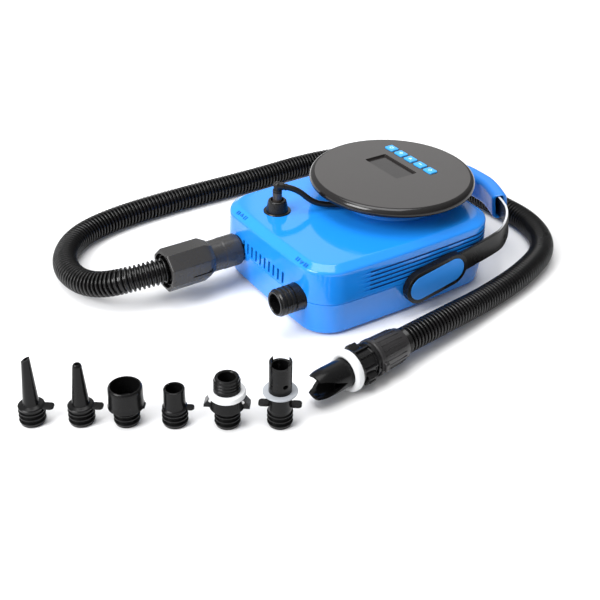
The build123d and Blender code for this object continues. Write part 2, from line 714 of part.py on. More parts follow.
with BuildPart() as screw_adapter:
    adapter(
        4,
        [
            (15.5, 17), (15.5, 19.5), (11.5, 20.5), (11.5, 38), (10.4, 38.6), (11.5, 40.4), (10.4, 42),
            (11.5, 43.8), (10.4, 45.4), (11.5, 47), (10.2, 49),
        ],
        [(7.2, 49), (7.2, 14), (barb_bore_r, 12)],
    )
    for side in (-1, 1):
        tab(4, 19.5, 19.5, 10, 10, side)
save(screw_adapter.part, "screw_adapter")

with BuildPart() as screw_adapter_gasket:
    ring_bar(Plane(origin=(*row_spots[4], 30.2)), 15.8, 11.6, 5.6)
    fillet(screw_adapter_gasket.edges().filter_by(GeomType.CIRCLE).sort_by(SortBy.RADIUS)[-2:], 2)
save(screw_adapter_gasket.part, "screw_adapter_gasket")

with BuildPart() as slot_adapter:
    adapter(
        5,
        [(10, 17), (10, 19), (18.5, 20), (18.5, 22), (9.8, 23), (9.8, 65)],
        [(7.4, 65), (7.4, 14), (barb_bore_r, 12)],
    )
    with BuildSketch(row_profile(5)) as slots:
        with Locations((0, 60)):
            Rectangle(8, 16)
        with Locations((3, 44)):
            Circle(2.2)
    extrude(slots.sketch, amount=15, both=True, mode=Mode.SUBTRACT)
save(slot_adapter.part, "slot_adapter")

with BuildPart() as slot_adapter_ring:
    ring_bar(Plane(origin=(*row_spots[5], 33)), 15, 9.9, 2)
    fillet(slot_adapter_ring.edges().filter_by(GeomType.CIRCLE).sort_by(SortBy.RADIUS)[-2:], 0.6)
save(slot_adapter_ring.part, "slot_adapter_ring")

# ---------------------------------------------------------------- first stage: fan and ducts
volute_x0, volute_x1, volute_r, volute_t = -82.8, -56.8, 29.5, 1.8
duct_top_z, duct_low_z, duct_end_y = fan_z + volute_r, fan_z + 8, -22.0
duct_mid_z, duct_x = (duct_top_z + duct_low_z) / 2, (volute_x0 + volute_x1) / 2
volute_in_w = volute_x1 - volute_x0 - 2 * volute_t
fan_axis_start = along_x(volute_x0, fan_y, fan_z)
with BuildPart() as volute:
    round_bar(fan_axis_start, volute_r, volute_x1 - volute_x0)
    with BuildSketch(along_y(duct_x, fan_y, duct_mid_z)) as outlet:
        Rectangle(volute_x1 - volute_x0, duct_top_z - duct_low_z)
    extrude(outlet.sketch, amount=duct_end_y - fan_y)
    round_bar(fan_axis_start.offset(volute_t), volute_r - volute_t, volute_in_w, mode=Mode.SUBTRACT)
    with BuildSketch(along_y(duct_x, fan_y, duct_mid_z)) as throat:
        Rectangle(volute_in_w, duct_top_z - duct_low_z - 2 * volute_t)
    extrude(throat.sketch, amount=duct_end_y - fan_y, mode=Mode.SUBTRACT)
    round_bar(fan_axis_start.offset(-4), spigot_r + 0.2, 10, mode=Mode.SUBTRACT)
    round_bar(fan_axis_start.offset(20), 5, 12, mode=Mode.SUBTRACT)
save(volute.part, "fan_volute")

with BuildPart() as blower_motor:
    round_bar(along_x(volute_x1 + 0.2, fan_y, fan_z), 8, 4)
    round_bar(along_x(volute_x1 + 4.2, fan_y, fan_z), fan_motor_r, fan_motor_len)
    round_bar(along_x(volute_x1 + 4.2 + fan_motor_len, fan_y, fan_z), 6, 3)
    for terminal in (-9, 9):
        with Locations((volute_x1 + fan_motor_len + 6.5, fan_y + terminal, fan_z)):
            Box(5, 0.8, 3)
    round_bar(along_x(volute_x1 - 1, fan_y, fan_z), 1.55, 14, mode=Mode.SUBTRACT)
save(blower_motor.part, "blower_motor")

with BuildPart() as fan_impeller:
    round_bar(along_x(volute_x1 - 7, fan_y, fan_z), 24, 1.5)
    round_bar(along_x(volute_x1 - 13, fan_y, fan_z), 4.5, 7)
    round_bar(along_x(volute_x1 - 7, fan_y, fan_z), 1.5, 16)
    with BuildSketch(along_x(volute_x1 - 20, fan_y, fan_z)) as blades:
        with PolarLocations(16.5, fan_blades):
            Rectangle(13, 1.2, rotation=25)
    extrude(blades.sketch, amount=13.2)
save(fan_impeller.part, "fan_impeller")

manifold_x0, manifold_x1, manifold_r = -96.0, -62.0, 13.6
duct_route = [(duct_x, duct_end_y, duct_mid_z), (duct_x, 12, duct_mid_z - 3), (-76, inflate_y - 8, port_z + 8)]
with BuildPart() as outlet_duct:
    with BuildLine() as duct_path:
        FilletPolyline(*duct_route, radius=24)
    with BuildSketch(Plane(origin=duct_route[0], z_dir=duct_path.wire() % 0)):
        Circle(8.6)
        Circle(7.2, mode=Mode.SUBTRACT)
    sweep()
    round_bar(along_x(manifold_x0 - 4, inflate_y, port_z), manifold_r, manifold_x1 - manifold_x0 + 8, mode=Mode.SUBTRACT)
save(outlet_duct.part, "outlet_duct")

with BuildPart() as outlet_manifold:
    round_bar(along_x(manifold_x0, inflate_y, port_z), manifold_r, manifold_x1 - manifold_x0)
    round_bar(along_x(manifold_x0, inflate_y, port_z), spigot_r + 0.05, spigot_x - manifold_x0, mode=Mode.SUBTRACT)
    round_bar(along_x(manifold_x0, inflate_y, port_z), port_bore_r, 30, mode=Mode.SUBTRACT)
save(outlet_manifold.part, "outlet_manifold")

# ---------------------------------------------------------------- second stage: geared piston compressor
frame_x0, frame_x1 = 41.6, 44.8
gear_x0, gear_x1 = 32.4, 39.4
rod_x0, rod_x1 = 25.5, 30.5
crank_y = gear_y - crank_throw


def gear_outline(teeth, phase):
    """Plain trapezoid-tooth outline of a spur gear with the shared module, turned by phase degrees."""
    pitch_r = module * teeth / 2
    outer_r, root_r = pitch_r + 0.9 * module, pitch_r - 1.2 * module
    points = []
    for tooth in range(teeth):
        middle = 360 * tooth / teeth + phase
        for angle, r in ((-0.27, root_r), (-0.13, outer_r), (0.13, outer_r), (0.27, root_r)):
            turn = radians(middle + angle * 360 / teeth)
            points.append((r * cos(turn), r * sin(turn)))
    return points


with BuildPart() as crank_gear:
    with BuildSketch(along_x(gear_x0, gear_y, comp_z)):
        with BuildLine():
            Polyline(*gear_outline(gear_teeth, 0), close=True)
        make_face()
        Circle(3.05, mode=Mode.SUBTRACT)
    extrude(amount=gear_x1 - gear_x0)
    round_bar(along_x(rod_x0 - 1.5, crank_y, comp_z), 2.5, gear_x0 - rod_x0 + 1.5)
save(crank_gear.part, "crank_gear")

with BuildPart() as gear_axle:
    round_bar(along_x(gear_x0 + 0.5, gear_y, comp_z), 3.0, frame_x1 - gear_x0 - 0.5 + 2)
    round_bar(along_x(frame_x1, gear_y, comp_z), 5, 2)
save(gear_axle.part, "gear_axle")

with BuildPart() as drive_pinion:
    with BuildSketch(along_x(gear_x0, comp_motor_y, comp_z)):
        with BuildLine():
            Polyline(*gear_outline(pinion_teeth, 180 / pinion_teeth), close=True)
        make_face()
    extrude(amount=gear_x1 - gear_x0)
    round_bar(along_x(gear_x1, comp_motor_y, comp_z), 1.6, 14)
save(drive_pinion.part, "drive_pinion")

with BuildPart() as compressor_motor:
    round_bar(along_x(comp_motor_x, comp_motor_y, comp_z), comp_motor_r, comp_motor_len)
    round_bar(along_x(comp_motor_x + comp_motor_len, comp_motor_y, comp_z), 6, 2.5)
    round_bar(along_x(comp_motor_x - 1, comp_motor_y, comp_z), 1.66, 12, mode=Mode.SUBTRACT)
save(compressor_motor.part, "compressor_motor")

piston_y = crank_y - rod_len
with BuildPart() as piston_rod:
    round_bar(along_x(rod_x0, crank_y, comp_z), 5.2, rod_x1 - rod_x0)
    with Locations(((rod_x0 + rod_x1) / 2, crank_y - rod_len / 2 - 2.5, comp_z)):
        Box(rod_x1 - rod_x0, rod_len - 3, 5)
    round_bar(along_y((rod_x0 + rod_x1) / 2, piston_y, comp_z, -1), piston_r, 3.5)
    round_bar(along_x(rod_x0 - 1, crank_y, comp_z), 2.55, 9, mode=Mode.SUBTRACT)
save(piston_rod.part, "piston_rod")

cylinder_y0, cylinder_y1 = -7.0, -28.0
base_plate_t = 2.4
base_plate_z = foot_z + wall + base_plate_t
cylinder_x = (rod_x0 + rod_x1) / 2
with BuildPart() as cylinder:
    round_bar(along_y(cylinder_x, cylinder_y1, comp_z), cylinder_bore_r + 1.8, cylinder_y0 - cylinder_y1)
    for fin in range(4):
        round_bar(along_y(cylinder_x, cylinder_y1 + 2 + fin * 4.4, comp_z), cylinder_bore_r + 4, 1.4)
    with Locations((cylinder_x, (cylinder_y0 + cylinder_y1) / 2, (base_plate_z + comp_z - 12) / 2)):
        Box(18, 16, comp_z - 12 - base_plate_z)
    round_bar(along_y(cylinder_x, cylinder_y1 - 1, comp_z), cylinder_bore_r, 30, mode=Mode.SUBTRACT)
save(cylinder.part, "cylinder")

with BuildPart() as compressor_frame:
    with BuildSketch(along_x(frame_x0, 0, comp_z)):
        with BuildLine():
            Polyline((-5, -21), (68, -21), (68, 20), (48, 24), (-5, 16), close=True)
        make_face()
        with Locations((gear_y, 0)):
            Circle(3.0, mode=Mode.SUBTRACT)
        with Locations((comp_motor_y, 0)):
            Circle(5, mode=Mode.SUBTRACT)
    extrude(amount=frame_x1 - frame_x0)
    with Locations((34, 15, base_plate_z - base_plate_t / 2)):
        Box(32, 90, base_plate_t)
    with Locations(((frame_x0 + frame_x1) / 2, 31.5, (base_plate_z + comp_z - 20) / 2)):
        Box(frame_x1 - frame_x0, 73, comp_z - 20 - base_plate_z)
save(compressor_frame.part, "compressor_frame")

head_t = 7.0
with BuildPart() as cylinder_head:
    round_bar(along_y(cylinder_x, cylinder_y1, comp_z, -1), cylinder_bore_r + 4, head_t)
    round_bar(Plane(origin=(cylinder_x, cylinder_y1 - head_t / 2, comp_z + 10)), 3.4, 12)
    round_bar(Plane(origin=(cylinder_x, cylinder_y1 - head_t / 2, comp_z + 4)), 1.2, 20, mode=Mode.SUBTRACT)
save(cylinder_head.part, "cylinder_head")

tube_route = [
    (cylinder_x, cylinder_y1 - head_t / 2, comp_z + 22),
    (cylinder_x, cylinder_y1 - head_t / 2, comp_z + 34),
    (10, -8, comp_z + 33),
    (-16, 30, comp_z + 26),
    (-34, inflate_y, port_z + 2),
    (-48, inflate_y, port_z),
    (manifold_x1, inflate_y, port_z),
]
with BuildPart() as pressure_tube:
    with BuildLine():
        FilletPolyline(*tube_route, radius=route_radii(tube_route, "pressure tube"))
    with BuildSketch(Plane(origin=tube_route[0], z_dir=(0, 0, 1))):
        Circle(3)
    sweep()
save(pressure_tube.part, "pressure_tube")

board_mid_x, board_mid_y = 70.0, -46.0
with BuildPart() as main_board:
    with Locations((board_mid_x, board_mid_y, foot_z + wall + 5.8)):
        Box(36, 36, 1.6)
    with Locations((board_mid_x, board_mid_y, foot_z + wall)):
        with GridLocations(28, 28, 2, 2):
            Cylinder(2.4, 5, align=(Align.CENTER, Align.CENTER, Align.MIN))
    with Locations((board_mid_x - 9, board_mid_y, foot_z + wall + 6.6)):
        with GridLocations(0, 14, 1, 2):
            Cylinder(4, 12, align=(Align.CENTER, Align.CENTER, Align.MIN))
    with Locations((board_mid_x + 8, board_mid_y, foot_z + wall + 12.6)):
        Box(12, 22, 12)
save(main_board.part, "main_board")
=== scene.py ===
"""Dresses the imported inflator: shells, control disc, hose, handle, fittings, adapters, lights and camera.

Sizes in the classes are millimetres; a mesh is scaled to metres as it is finished.
Frame: +X towards the carrying grip, -X the face with the two ports, +Z up.
"""

import json
import logging
import math
from dataclasses import dataclass
from enum import Enum
from typing import Callable, Iterable, Sequence

import bmesh
import bpy
from mathutils import Matrix, Vector

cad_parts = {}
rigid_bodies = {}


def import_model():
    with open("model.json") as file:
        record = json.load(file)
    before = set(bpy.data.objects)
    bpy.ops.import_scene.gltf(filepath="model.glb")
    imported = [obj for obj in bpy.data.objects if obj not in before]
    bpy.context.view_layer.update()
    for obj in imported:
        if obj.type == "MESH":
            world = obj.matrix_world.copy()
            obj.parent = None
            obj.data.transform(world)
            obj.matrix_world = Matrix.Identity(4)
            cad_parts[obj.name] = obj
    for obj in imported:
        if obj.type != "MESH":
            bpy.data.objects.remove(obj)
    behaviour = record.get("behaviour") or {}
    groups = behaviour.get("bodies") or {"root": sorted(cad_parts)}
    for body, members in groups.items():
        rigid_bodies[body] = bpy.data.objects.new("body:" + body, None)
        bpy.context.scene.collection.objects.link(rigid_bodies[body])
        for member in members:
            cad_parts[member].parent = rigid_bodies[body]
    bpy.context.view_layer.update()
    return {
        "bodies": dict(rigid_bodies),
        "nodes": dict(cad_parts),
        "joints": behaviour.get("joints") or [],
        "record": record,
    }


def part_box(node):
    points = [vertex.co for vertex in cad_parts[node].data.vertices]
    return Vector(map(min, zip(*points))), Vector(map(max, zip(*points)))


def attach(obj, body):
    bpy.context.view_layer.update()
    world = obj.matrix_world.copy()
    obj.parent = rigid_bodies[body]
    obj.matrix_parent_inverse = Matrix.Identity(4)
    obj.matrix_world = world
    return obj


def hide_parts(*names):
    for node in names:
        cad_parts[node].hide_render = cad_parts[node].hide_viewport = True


MM = 0.001
MERGE = 1e-4
TINY = 1e-6
FOOT_RISE = 0.0004
NOISE_SPAN = (0.3, 0.7)
FLAT_WEIGHT = 80
Pair = tuple[float, float]
Triple = tuple[float, float, float]
log = logging.getLogger("inflator")


# ---------------------------------------------------------------- finishes
class Graph:
    """Short calls for building one material's nodes."""

    def __init__(self, name: str) -> None:
        """Start a material with an empty Principled surface.

        Args:
            name: the material's name.
        """
        self.material = bpy.data.materials.new(name)
        self.material.use_nodes = True
        self.nodes = self.material.node_tree.nodes
        self.links = self.material.node_tree.links
        self.shader = self.nodes["Principled BSDF"]
        self.coords = self.nodes.new("ShaderNodeTexCoord").outputs["Object"]

    def noise(self, scale: float, detail: float = 4.0, stretch: Triple = (1, 1, 1)) -> bpy.types.NodeSocket:
        """Noise in object space.

        Args:
            scale: cells per metre.
            detail: octaves.
            stretch: scale along each axis, for brushed or drawn surfaces.

        Returns:
            The noise value's socket.
        """
        mapping = self.nodes.new("ShaderNodeMapping")
        mapping.inputs["Scale"].default_value = stretch
        self.links.new(self.coords, mapping.inputs["Vector"])
        node = self.nodes.new("ShaderNodeTexNoise")
        node.inputs["Scale"].default_value = scale
        node.inputs["Detail"].default_value = detail
        self.links.new(mapping.outputs["Vector"], node.inputs["Vector"])
        return node.outputs["Fac"]

    def spread(self, value: bpy.types.NodeSocket, low: float, high: float) -> bpy.types.NodeSocket:
        """Map a noise value from its usual span to low..high.

        Args:
            value: the noise value's socket.
            low: result at the low end of the noise's span.
            high: result at its high end.

        Returns:
            The mapped value's socket.
        """
        node = self.nodes.new("ShaderNodeMapRange")
        node.inputs["From Min"].default_value, node.inputs["From Max"].default_value = NOISE_SPAN
        node.inputs["To Min"].default_value = low
        node.inputs["To Max"].default_value = high
        self.links.new(value, node.inputs["Value"])
        return node.outputs["Result"]

    def blend(self, factor: bpy.types.NodeSocket, first: Triple, second: Triple) -> bpy.types.NodeSocket:
        """Mix two colours by a factor socket.

        Args:
            factor: 0 for the first colour, 1 for the second.
            first: a colour.
            second: a colour.

        Returns:
            The mixed colour's socket.
        """
        node = self.nodes.new("ShaderNodeMix")
        node.data_type = "RGBA"
        node.inputs["A"].default_value = (*first, 1)
        node.inputs["B"].default_value = (*second, 1)
        self.links.new(factor, node.inputs["Factor"])
        return node.outputs["Result"]

    def bump(self, height: bpy.types.NodeSocket, depth: float,
             before: bpy.types.NodeSocket | None = None) -> bpy.types.NodeSocket:
        """Bump from a height socket, depth in metres, on top of an earlier normal.

        Args:
            height: the height's socket.
            depth: how deep the bump goes, in metres.
            before: an earlier bump's normal.

        Returns:
            The new normal's socket.
        """
        node = self.nodes.new("ShaderNodeBump")
        node.inputs["Distance"].default_value = depth
        node.inputs["Strength"].default_value = 1.0
        self.links.new(height, node.inputs["Height"])
        if before is not None:
            self.links.new(before, node.inputs["Normal"])
        return node.outputs["Normal"]

    def feed(self, source: bpy.types.NodeSocket, name: str) -> None:
        """Link a socket to one of the shader's inputs."""
        self.links.new(source, self.shader.inputs[name])

    def set(self, **values: float) -> None:
        """Set the shader's own sockets; underscores stand for spaces."""
        for name, value in values.items():
            self.shader.inputs[name.replace("_", " ")].default_value = value


@dataclass(frozen=True)
class Finish:
    """A named surface finish, which becomes one material."""

    name: str

    def material(self) -> bpy.types.Material:
        """Build the material, or return it if it was built before.

        Returns:
            The material, named after the finish.
        """
        title = f"{self.name}_look"
        made = bpy.data.materials.get(title)
        if made is None:
            graph = Graph(title)
            self.paint(graph)
            made = graph.material
        return made

    def paint(self, graph: Graph) -> None:
        """Feed the surface's nodes; each kind of finish does this in its own way."""
        raise NotImplementedError


@dataclass(frozen=True)
class Plastic(Finish):
    """Moulded plastic or rubber: a colour with slow tone drift, grain, and worn or glossy patches."""

    colour: Triple
    roughness: Pair
    drift: float = 0.88
    grain: float = 900.0
    grain_depth: float = 0.00002
    coat: float = 0.0
    coat_roughness: float = 0.05
    ior: float = 1.47

    def paint(self, graph: Graph) -> None:
        """Feed the surface's nodes.

        Args:
            graph: the material's graph.
        """
        graph.set(IOR=self.ior, Coat_Weight=self.coat, Coat_Roughness=self.coat_roughness)
        darker = tuple(channel * self.drift for channel in self.colour)
        slow = graph.spread(graph.noise(14.0, 3.0), 0.0, 1.0)
        graph.feed(graph.blend(slow, self.colour, darker), "Base Color")
        graph.feed(graph.spread(graph.noise(60.0, 5.0), *self.roughness), "Roughness")
        ripple = graph.bump(graph.noise(22.0, 1.0), self.grain_depth * 2)
        graph.feed(graph.bump(graph.noise(self.grain, 2.0), self.grain_depth, ripple), "Normal")


@dataclass(frozen=True)
class Metal(Finish):
    """Drawn, plated or cast metal."""

    colour: Triple
    roughness: Pair
    stretch: Triple = (1, 1, 1)
    grain: float = 700.0

    def paint(self, graph: Graph) -> None:
        """Feed the surface's nodes.

        Args:
            graph: the material's graph.
        """
        graph.set(Metallic=1.0)
        stained = tuple(channel * 0.8 for channel in self.colour)
        graph.feed(graph.blend(graph.spread(graph.noise(90.0), 0, 1), self.colour, stained), "Base Color")
        lines = graph.noise(self.grain, 3.0, self.stretch)
        graph.feed(graph.spread(lines, *self.roughness), "Roughness")
        graph.feed(graph.bump(lines, 0.00002), "Normal")


@dataclass(frozen=True)
class Fade(Finish):
    """Plastic whose colour goes from one to another between two places along X."""

    first: Triple
    second: Triple
    span: Pair
    roughness: float

    def paint(self, graph: Graph) -> None:
        """Feed the surface's nodes.

        Args:
            graph: the material's graph.
        """
        axes = graph.nodes.new("ShaderNodeSeparateXYZ")
        graph.links.new(graph.coords, axes.inputs["Vector"])
        ramp = graph.nodes.new("ShaderNodeMapRange")
        ramp.inputs["From Min"].default_value, ramp.inputs["From Max"].default_value = self.span
        graph.links.new(axes.outputs["X"], ramp.inputs["Value"])
        graph.feed(graph.blend(ramp.outputs["Result"], self.first, self.second), "Base Color")
        graph.feed(graph.spread(graph.noise(80.0), self.roughness, self.roughness + 0.08), "Roughness")


@dataclass(frozen=True)
class Board(Finish):
    """Green circuit board with faint copper runs."""

    colour: Triple = (0.012, 0.16, 0.06)
    copper: Triple = (0.03, 0.28, 0.1)

    def paint(self, graph: Graph) -> None:
        """Feed the surface's nodes.

        Args:
            graph: the material's graph.
        """
        runs = graph.nodes.new("ShaderNodeTexBrick")
        runs.inputs["Scale"].default_value = 320.0
        runs.inputs["Color1"].default_value = (*self.colour, 1)
        runs.inputs["Color2"].default_value = (*self.colour, 1)
        runs.inputs["Mortar"].default_value = (*self.copper, 1)
        runs.inputs["Mortar Size"].default_value = 0.06
        graph.links.new(graph.coords, runs.inputs["Vector"])
        graph.feed(runs.outputs["Color"], "Base Color")
        graph.feed(graph.bump(runs.outputs["Fac"], 0.00003), "Normal")
        graph.feed(graph.spread(graph.noise(300.0), 0.25, 0.45), "Roughness")


class Look(Enum):
    """Every finish on the object, by the record's slot or the piece it is for."""

    SHELL = Plastic("shell_blue", (0.013, 0.255, 0.86), (0.07, 0.12), 0.97, 500, 0.000004, 0.0, 0.02, 1.5)
    # Darker blue for the groove faces: painted shade in the grooves.
    GROOVE_SHADE = Plastic("groove_painted_shade", (0.002, 0.06, 0.27), (0.3, 0.4), 0.95, 800, 0.000006)
    GRIP = Plastic("grip_blue", (0.012, 0.23, 0.80), (0.16, 0.24), 0.95, 800, 0.00001)
    PILL = Plastic("pill_blue", (0.03, 0.31, 0.95), (0.34, 0.44), 0.96, 1300, 0.000012)
    DISC = Plastic("disc_grey", (0.036, 0.033, 0.032), (0.12, 0.16), 0.97, 1500, 0.000004)
    RIM = Plastic("disc_rim", (0.007, 0.006, 0.006), (0.14, 0.2), 0.92, 900, 0.000006)
    GLASS = Plastic("display_glass", (0.018, 0.016, 0.016), (0.16, 0.22), 0.95, 900, 0.000004)
    DARK = Plastic("display_module", (0.008, 0.008, 0.009), (0.35, 0.5))
    KEY = Plastic("key_blue", (0.04, 0.36, 0.80), (0.24, 0.34), 0.95, 1200, 0.00001)
    MARK = Plastic("key_mark", (0.62, 0.90, 0.97), (0.3, 0.4), 0.95)
    STAMP = Plastic("stamp_blue", (0.003, 0.13, 0.5), (0.25, 0.35), 0.9)
    PORT = Plastic("port_black", (0.006, 0.006, 0.0065), (0.22, 0.32), 0.8, 1000, 0.000015, 0, 0.05, 1.4)
    FITTING = Plastic("fitting_black", (0.005, 0.005, 0.0052), (0.2, 0.3), 0.85, 1100, 0.000015, 0, 0.05,
                      1.27)
    NUT = Plastic("nut_grey", (0.034, 0.033, 0.033), (0.24, 0.32), 0.88, 1200, 0.00002)
    HOSE = Plastic("hose_black", (0.003, 0.003, 0.0032), (0.2, 0.28), 0.8, 700, 0.000015, 0, 0.05, 1.4)
    STRAP = Plastic("strap_black", (0.005, 0.005, 0.0052), (0.24, 0.34), 0.8, 1200, 0.00002, 0, 0.05, 1.4)
    LEAD = Plastic("lead_black", (0.005, 0.005, 0.0053), (0.26, 0.38), 0.8, 900, 0.00002, 0, 0.05, 1.4)
    COLLAR = Plastic("collar_grey", (0.045, 0.04, 0.038), (0.18, 0.28), 0.85, 900, 0.00001)
    WHITE = Plastic("gasket_white", (0.72, 0.73, 0.74), (0.5, 0.65), 0.96, 1400, 0.00003)
    GREY = Plastic("gasket_grey", (0.36, 0.38, 0.41), (0.45, 0.6), 0.93, 1400, 0.00003)
    FOOT = Plastic("foot_rubber", (0.012, 0.012, 0.012), (0.6, 0.75), 0.8, 1200, 0.00006)
    DOT = Plastic("dot_white", (0.75, 0.75, 0.75), (0.35, 0.45), 0.95)
    PIN = Plastic("pin_black", (0.02, 0.02, 0.02), (0.4, 0.5))
    CASING = Plastic("casing_black", (0.03, 0.03, 0.034), (0.42, 0.55), 0.85, 1100, 0.00003)
    FAN = Plastic("fan_natural", (0.6, 0.6, 0.56), (0.38, 0.5), 0.93, 1200, 0.00002)
    ACETAL = Plastic("acetal_white", (0.74, 0.72, 0.64), (0.3, 0.42), 0.94, 1000, 0.00002)
    TUBE = Plastic("tube_milky", (0.66, 0.66, 0.63), (0.2, 0.3), 0.92, 700, 0.00002)
    # Painted highlight for the strap's top edge: black fading to pale grey along X.
    EDGE = Fade("strap_edge_highlight", (0.006, 0.006, 0.006), (0.66, 0.68, 0.70), (0.104, 0.128), 0.25)
    KNOB = Plastic("knob_black", (0.02, 0.019, 0.02), (0.24, 0.34), 0.88, 1100, 0.00002)
    SCREW = Metal("screw_zinc", (0.60, 0.60, 0.62), (0.25, 0.4))
    MOTOR = Metal("motor_can", (0.54, 0.55, 0.57), (0.26, 0.42), (0.05, 1, 1))
    BRASS = Metal("brass", (0.78, 0.57, 0.24), (0.2, 0.32))
    CAST = Metal("cast_alloy", (0.62, 0.63, 0.65), (0.4, 0.6), (1, 1, 1), 1500.0)
    BOARD = Board("board_green")


# ---------------------------------------------------------------- modelling
def facing(origin: Sequence[float], direction: Sequence[float],
           across: Sequence[float] = (0, 0, 1)) -> Matrix:
    """A place whose Z runs along direction and whose X lies near across.

    Args:
        origin: where the place stands.
        direction: its Z.
        across: the direction that its X lies nearest to.

    Returns:
        The place.
    """
    z_axis = Vector(direction).normalized()
    x_axis = Vector(across) - z_axis * Vector(across).dot(z_axis)
    if x_axis.length < TINY:
        x_axis = z_axis.orthogonal()
    x_axis.normalize()
    y_axis = z_axis.cross(x_axis)
    place = Matrix((x_axis, y_axis, z_axis)).transposed().to_4x4()
    place.translation = Vector(origin)
    return place


def middle(node: str) -> Vector:
    """Centre of a CAD node's box, in millimetres."""
    low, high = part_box(node)
    return (low + high) / 2 / MM


def foot_centre(node: str) -> Vector:
    """Centre of a CAD node's lowest ring, in millimetres.

    Args:
        node: the CAD node's name.

    Returns:
        The centre, at the ring's own height.
    """
    points = [v.co for v in bpy.data.objects[node].data.vertices]
    floor = min(p.z for p in points)
    ring = [p for p in points if p.z < floor + FOOT_RISE]
    low = Vector((min(p.x for p in ring), min(p.y for p in ring), floor))
    high = Vector((max(p.x for p in ring), max(p.y for p in ring), floor))
    return (low + high) / 2 / MM


class Shape:
    """A mesh being shaped, in millimetres, until it becomes one finished piece."""

    def __init__(self) -> None:
        """Start empty, with faces taking the first finish."""
        self.bm = bmesh.new()
        self.slot = 0

    def take(self, bm: bmesh.types.BMesh, place: Matrix = Matrix.Identity(4)) -> "Shape":
        """Add another bmesh at a place, in the current finish slot.

        Args:
            bm: the mesh to add, which is used up.
            place: where it goes.

        Returns:
            This shape.
        """
        if self.slot:
            for face in bm.faces:
                face.material_index = self.slot
        bmesh.ops.transform(bm, matrix=place, verts=bm.verts)
        mesh = bpy.data.meshes.new("part")
        bm.to_mesh(mesh)
        bm.free()
        self.bm.from_mesh(mesh)
        bpy.data.meshes.remove(mesh)
        return self

    def lathe(
        self, profile: Sequence[Pair], place: Matrix = Matrix.Identity(4), steps: int = 56,
        edge: float = 0.0
    ) -> "Shape":
        """Spin a profile of (radius, height) about the place's Z.

        Args:
            profile: its points, from axis to axis, or closed round a ring.
            place: where the axis stands.
            steps: faces round.
            edge: bevel on its sharp rings.

        Returns:
            This shape.
        """
        bm = bmesh.new()
        verts = [bm.verts.new((r, 0, h)) for r, h in profile]
        edges = [bm.edges.new(pair) for pair in zip(verts, verts[1:])]
        if profile[0][0] > 0 or profile[-1][0] > 0:
            edges.append(bm.edges.new((verts[-1], verts[0])))
        bmesh.ops.spin(
            bm, geom=verts + edges, cent=(0, 0, 0), axis=(0, 0, 1), angle=math.tau, steps=steps,
            use_merge=True
        )
        bmesh.ops.remove_doubles(bm, verts=bm.verts, dist=MERGE)
        bmesh.ops.recalc_face_normals(bm, faces=bm.faces)
        soften(bm, edge)
        return self.take(bm, place)

    def rod(self, radius: float, start: float, end: float, place: Matrix, steps: int = 56) -> "Shape":
        """Add a solid round rod along the place's Z, from start to end."""
        return self.lathe([(0, start), (radius, start), (radius, end), (0, end)], place, steps)

    def prism(self, outline: Sequence[Pair], half: float, place: Matrix, upright: bool = False) -> "Shape":
        """Add a flat outline with some thickness.

        Args:
            outline: its points, in X and Y.
            half: thickness on each side of the outline's plane.
            place: where it goes.
            upright: the points are in X and Z instead, and the thickness runs along Y.

        Returns:
            This shape.
        """
        rings = [[Vector((a, t, b) if upright else (a, b, t)) for a, b in outline] for t in (-half, half)]
        return self.skin(rings, True, place)

    def block(self, size: Triple, place: Matrix, edge: float = 0.0, segments: int = 2) -> "Shape":
        """Add a block with its edges rounded.

        Args:
            size: along the place's axes.
            place: of its centre.
            edge: how far its edges are rounded.
            segments: edges in each round.

        Returns:
            This shape.
        """
        bm = bmesh.new()
        bmesh.ops.create_cube(bm, size=1.0)
        bmesh.ops.scale(bm, vec=size, verts=bm.verts)
        soften(bm, edge, segments)
        return self.take(bm, place)

    def slab(self, size: Triple, corner: float, place: Matrix, edge: float = 0.0,
             segments: int = 3) -> "Shape":
        """Add a plate with round corners in plan and a rounded rim; its low face is at the place.

        Args:
            size: along the place's axes.
            corner: radius of its corners in plan.
            place: of the middle of its low face.
            edge: how far its upper rim is rounded.
            segments: edges in that round.

        Returns:
            This shape.
        """
        bm = bmesh.new()
        bmesh.ops.create_cube(bm, size=1.0)
        bmesh.ops.scale(bm, vec=size, verts=bm.verts)
        bmesh.ops.translate(bm, vec=(0, 0, size[2] / 2), verts=bm.verts)
        upright = [e for e in bm.edges if abs(e.verts[0].co.z - e.verts[1].co.z) > size[2] / 2]
        bevel(bm, upright, corner, 8)
        if edge > 0:
            rim = [e for e in bm.edges if min(v.co.z for v in e.verts) > size[2] * 0.99]
            bevel(bm, rim, edge, segments)
        return self.take(bm, place)

    def skin(self, rings: Iterable[Sequence[Vector]], caps: bool = True,
             place: Matrix = Matrix.Identity(4)) -> "Shape":
        """Extrude a closed ring of points through a run of rings.

        Args:
            rings: rings with the same number of points, in order.
            caps: whether both ends are closed.
            place: where it goes.

        Returns:
            This shape.
        """
        bm = bmesh.new()
        rings = iter(rings)
        ring = [bm.verts.new(p) for p in next(rings)]
        first = bm.faces.new(ring)
        for points in rings:
            edges = [bm.edges.get((a, b)) for a, b in zip(ring, ring[1:] + ring[:1])]
            made = bmesh.ops.extrude_edge_only(bm, edges=edges)
            fresh = {v for v in made["geom"] if isinstance(v, bmesh.types.BMVert)}
            step = [next(e.other_vert(v) for e in v.link_edges if e.other_vert(v) in fresh) for v in ring]
            for vert, point in zip(step, points):
                vert.co = point
            ring = step
        if caps:
            bm.faces.new(ring)
        else:
            bmesh.ops.delete(bm, geom=[first], context="FACES_ONLY")
        bmesh.ops.recalc_face_normals(bm, faces=bm.faces)
        return self.take(bm, place)

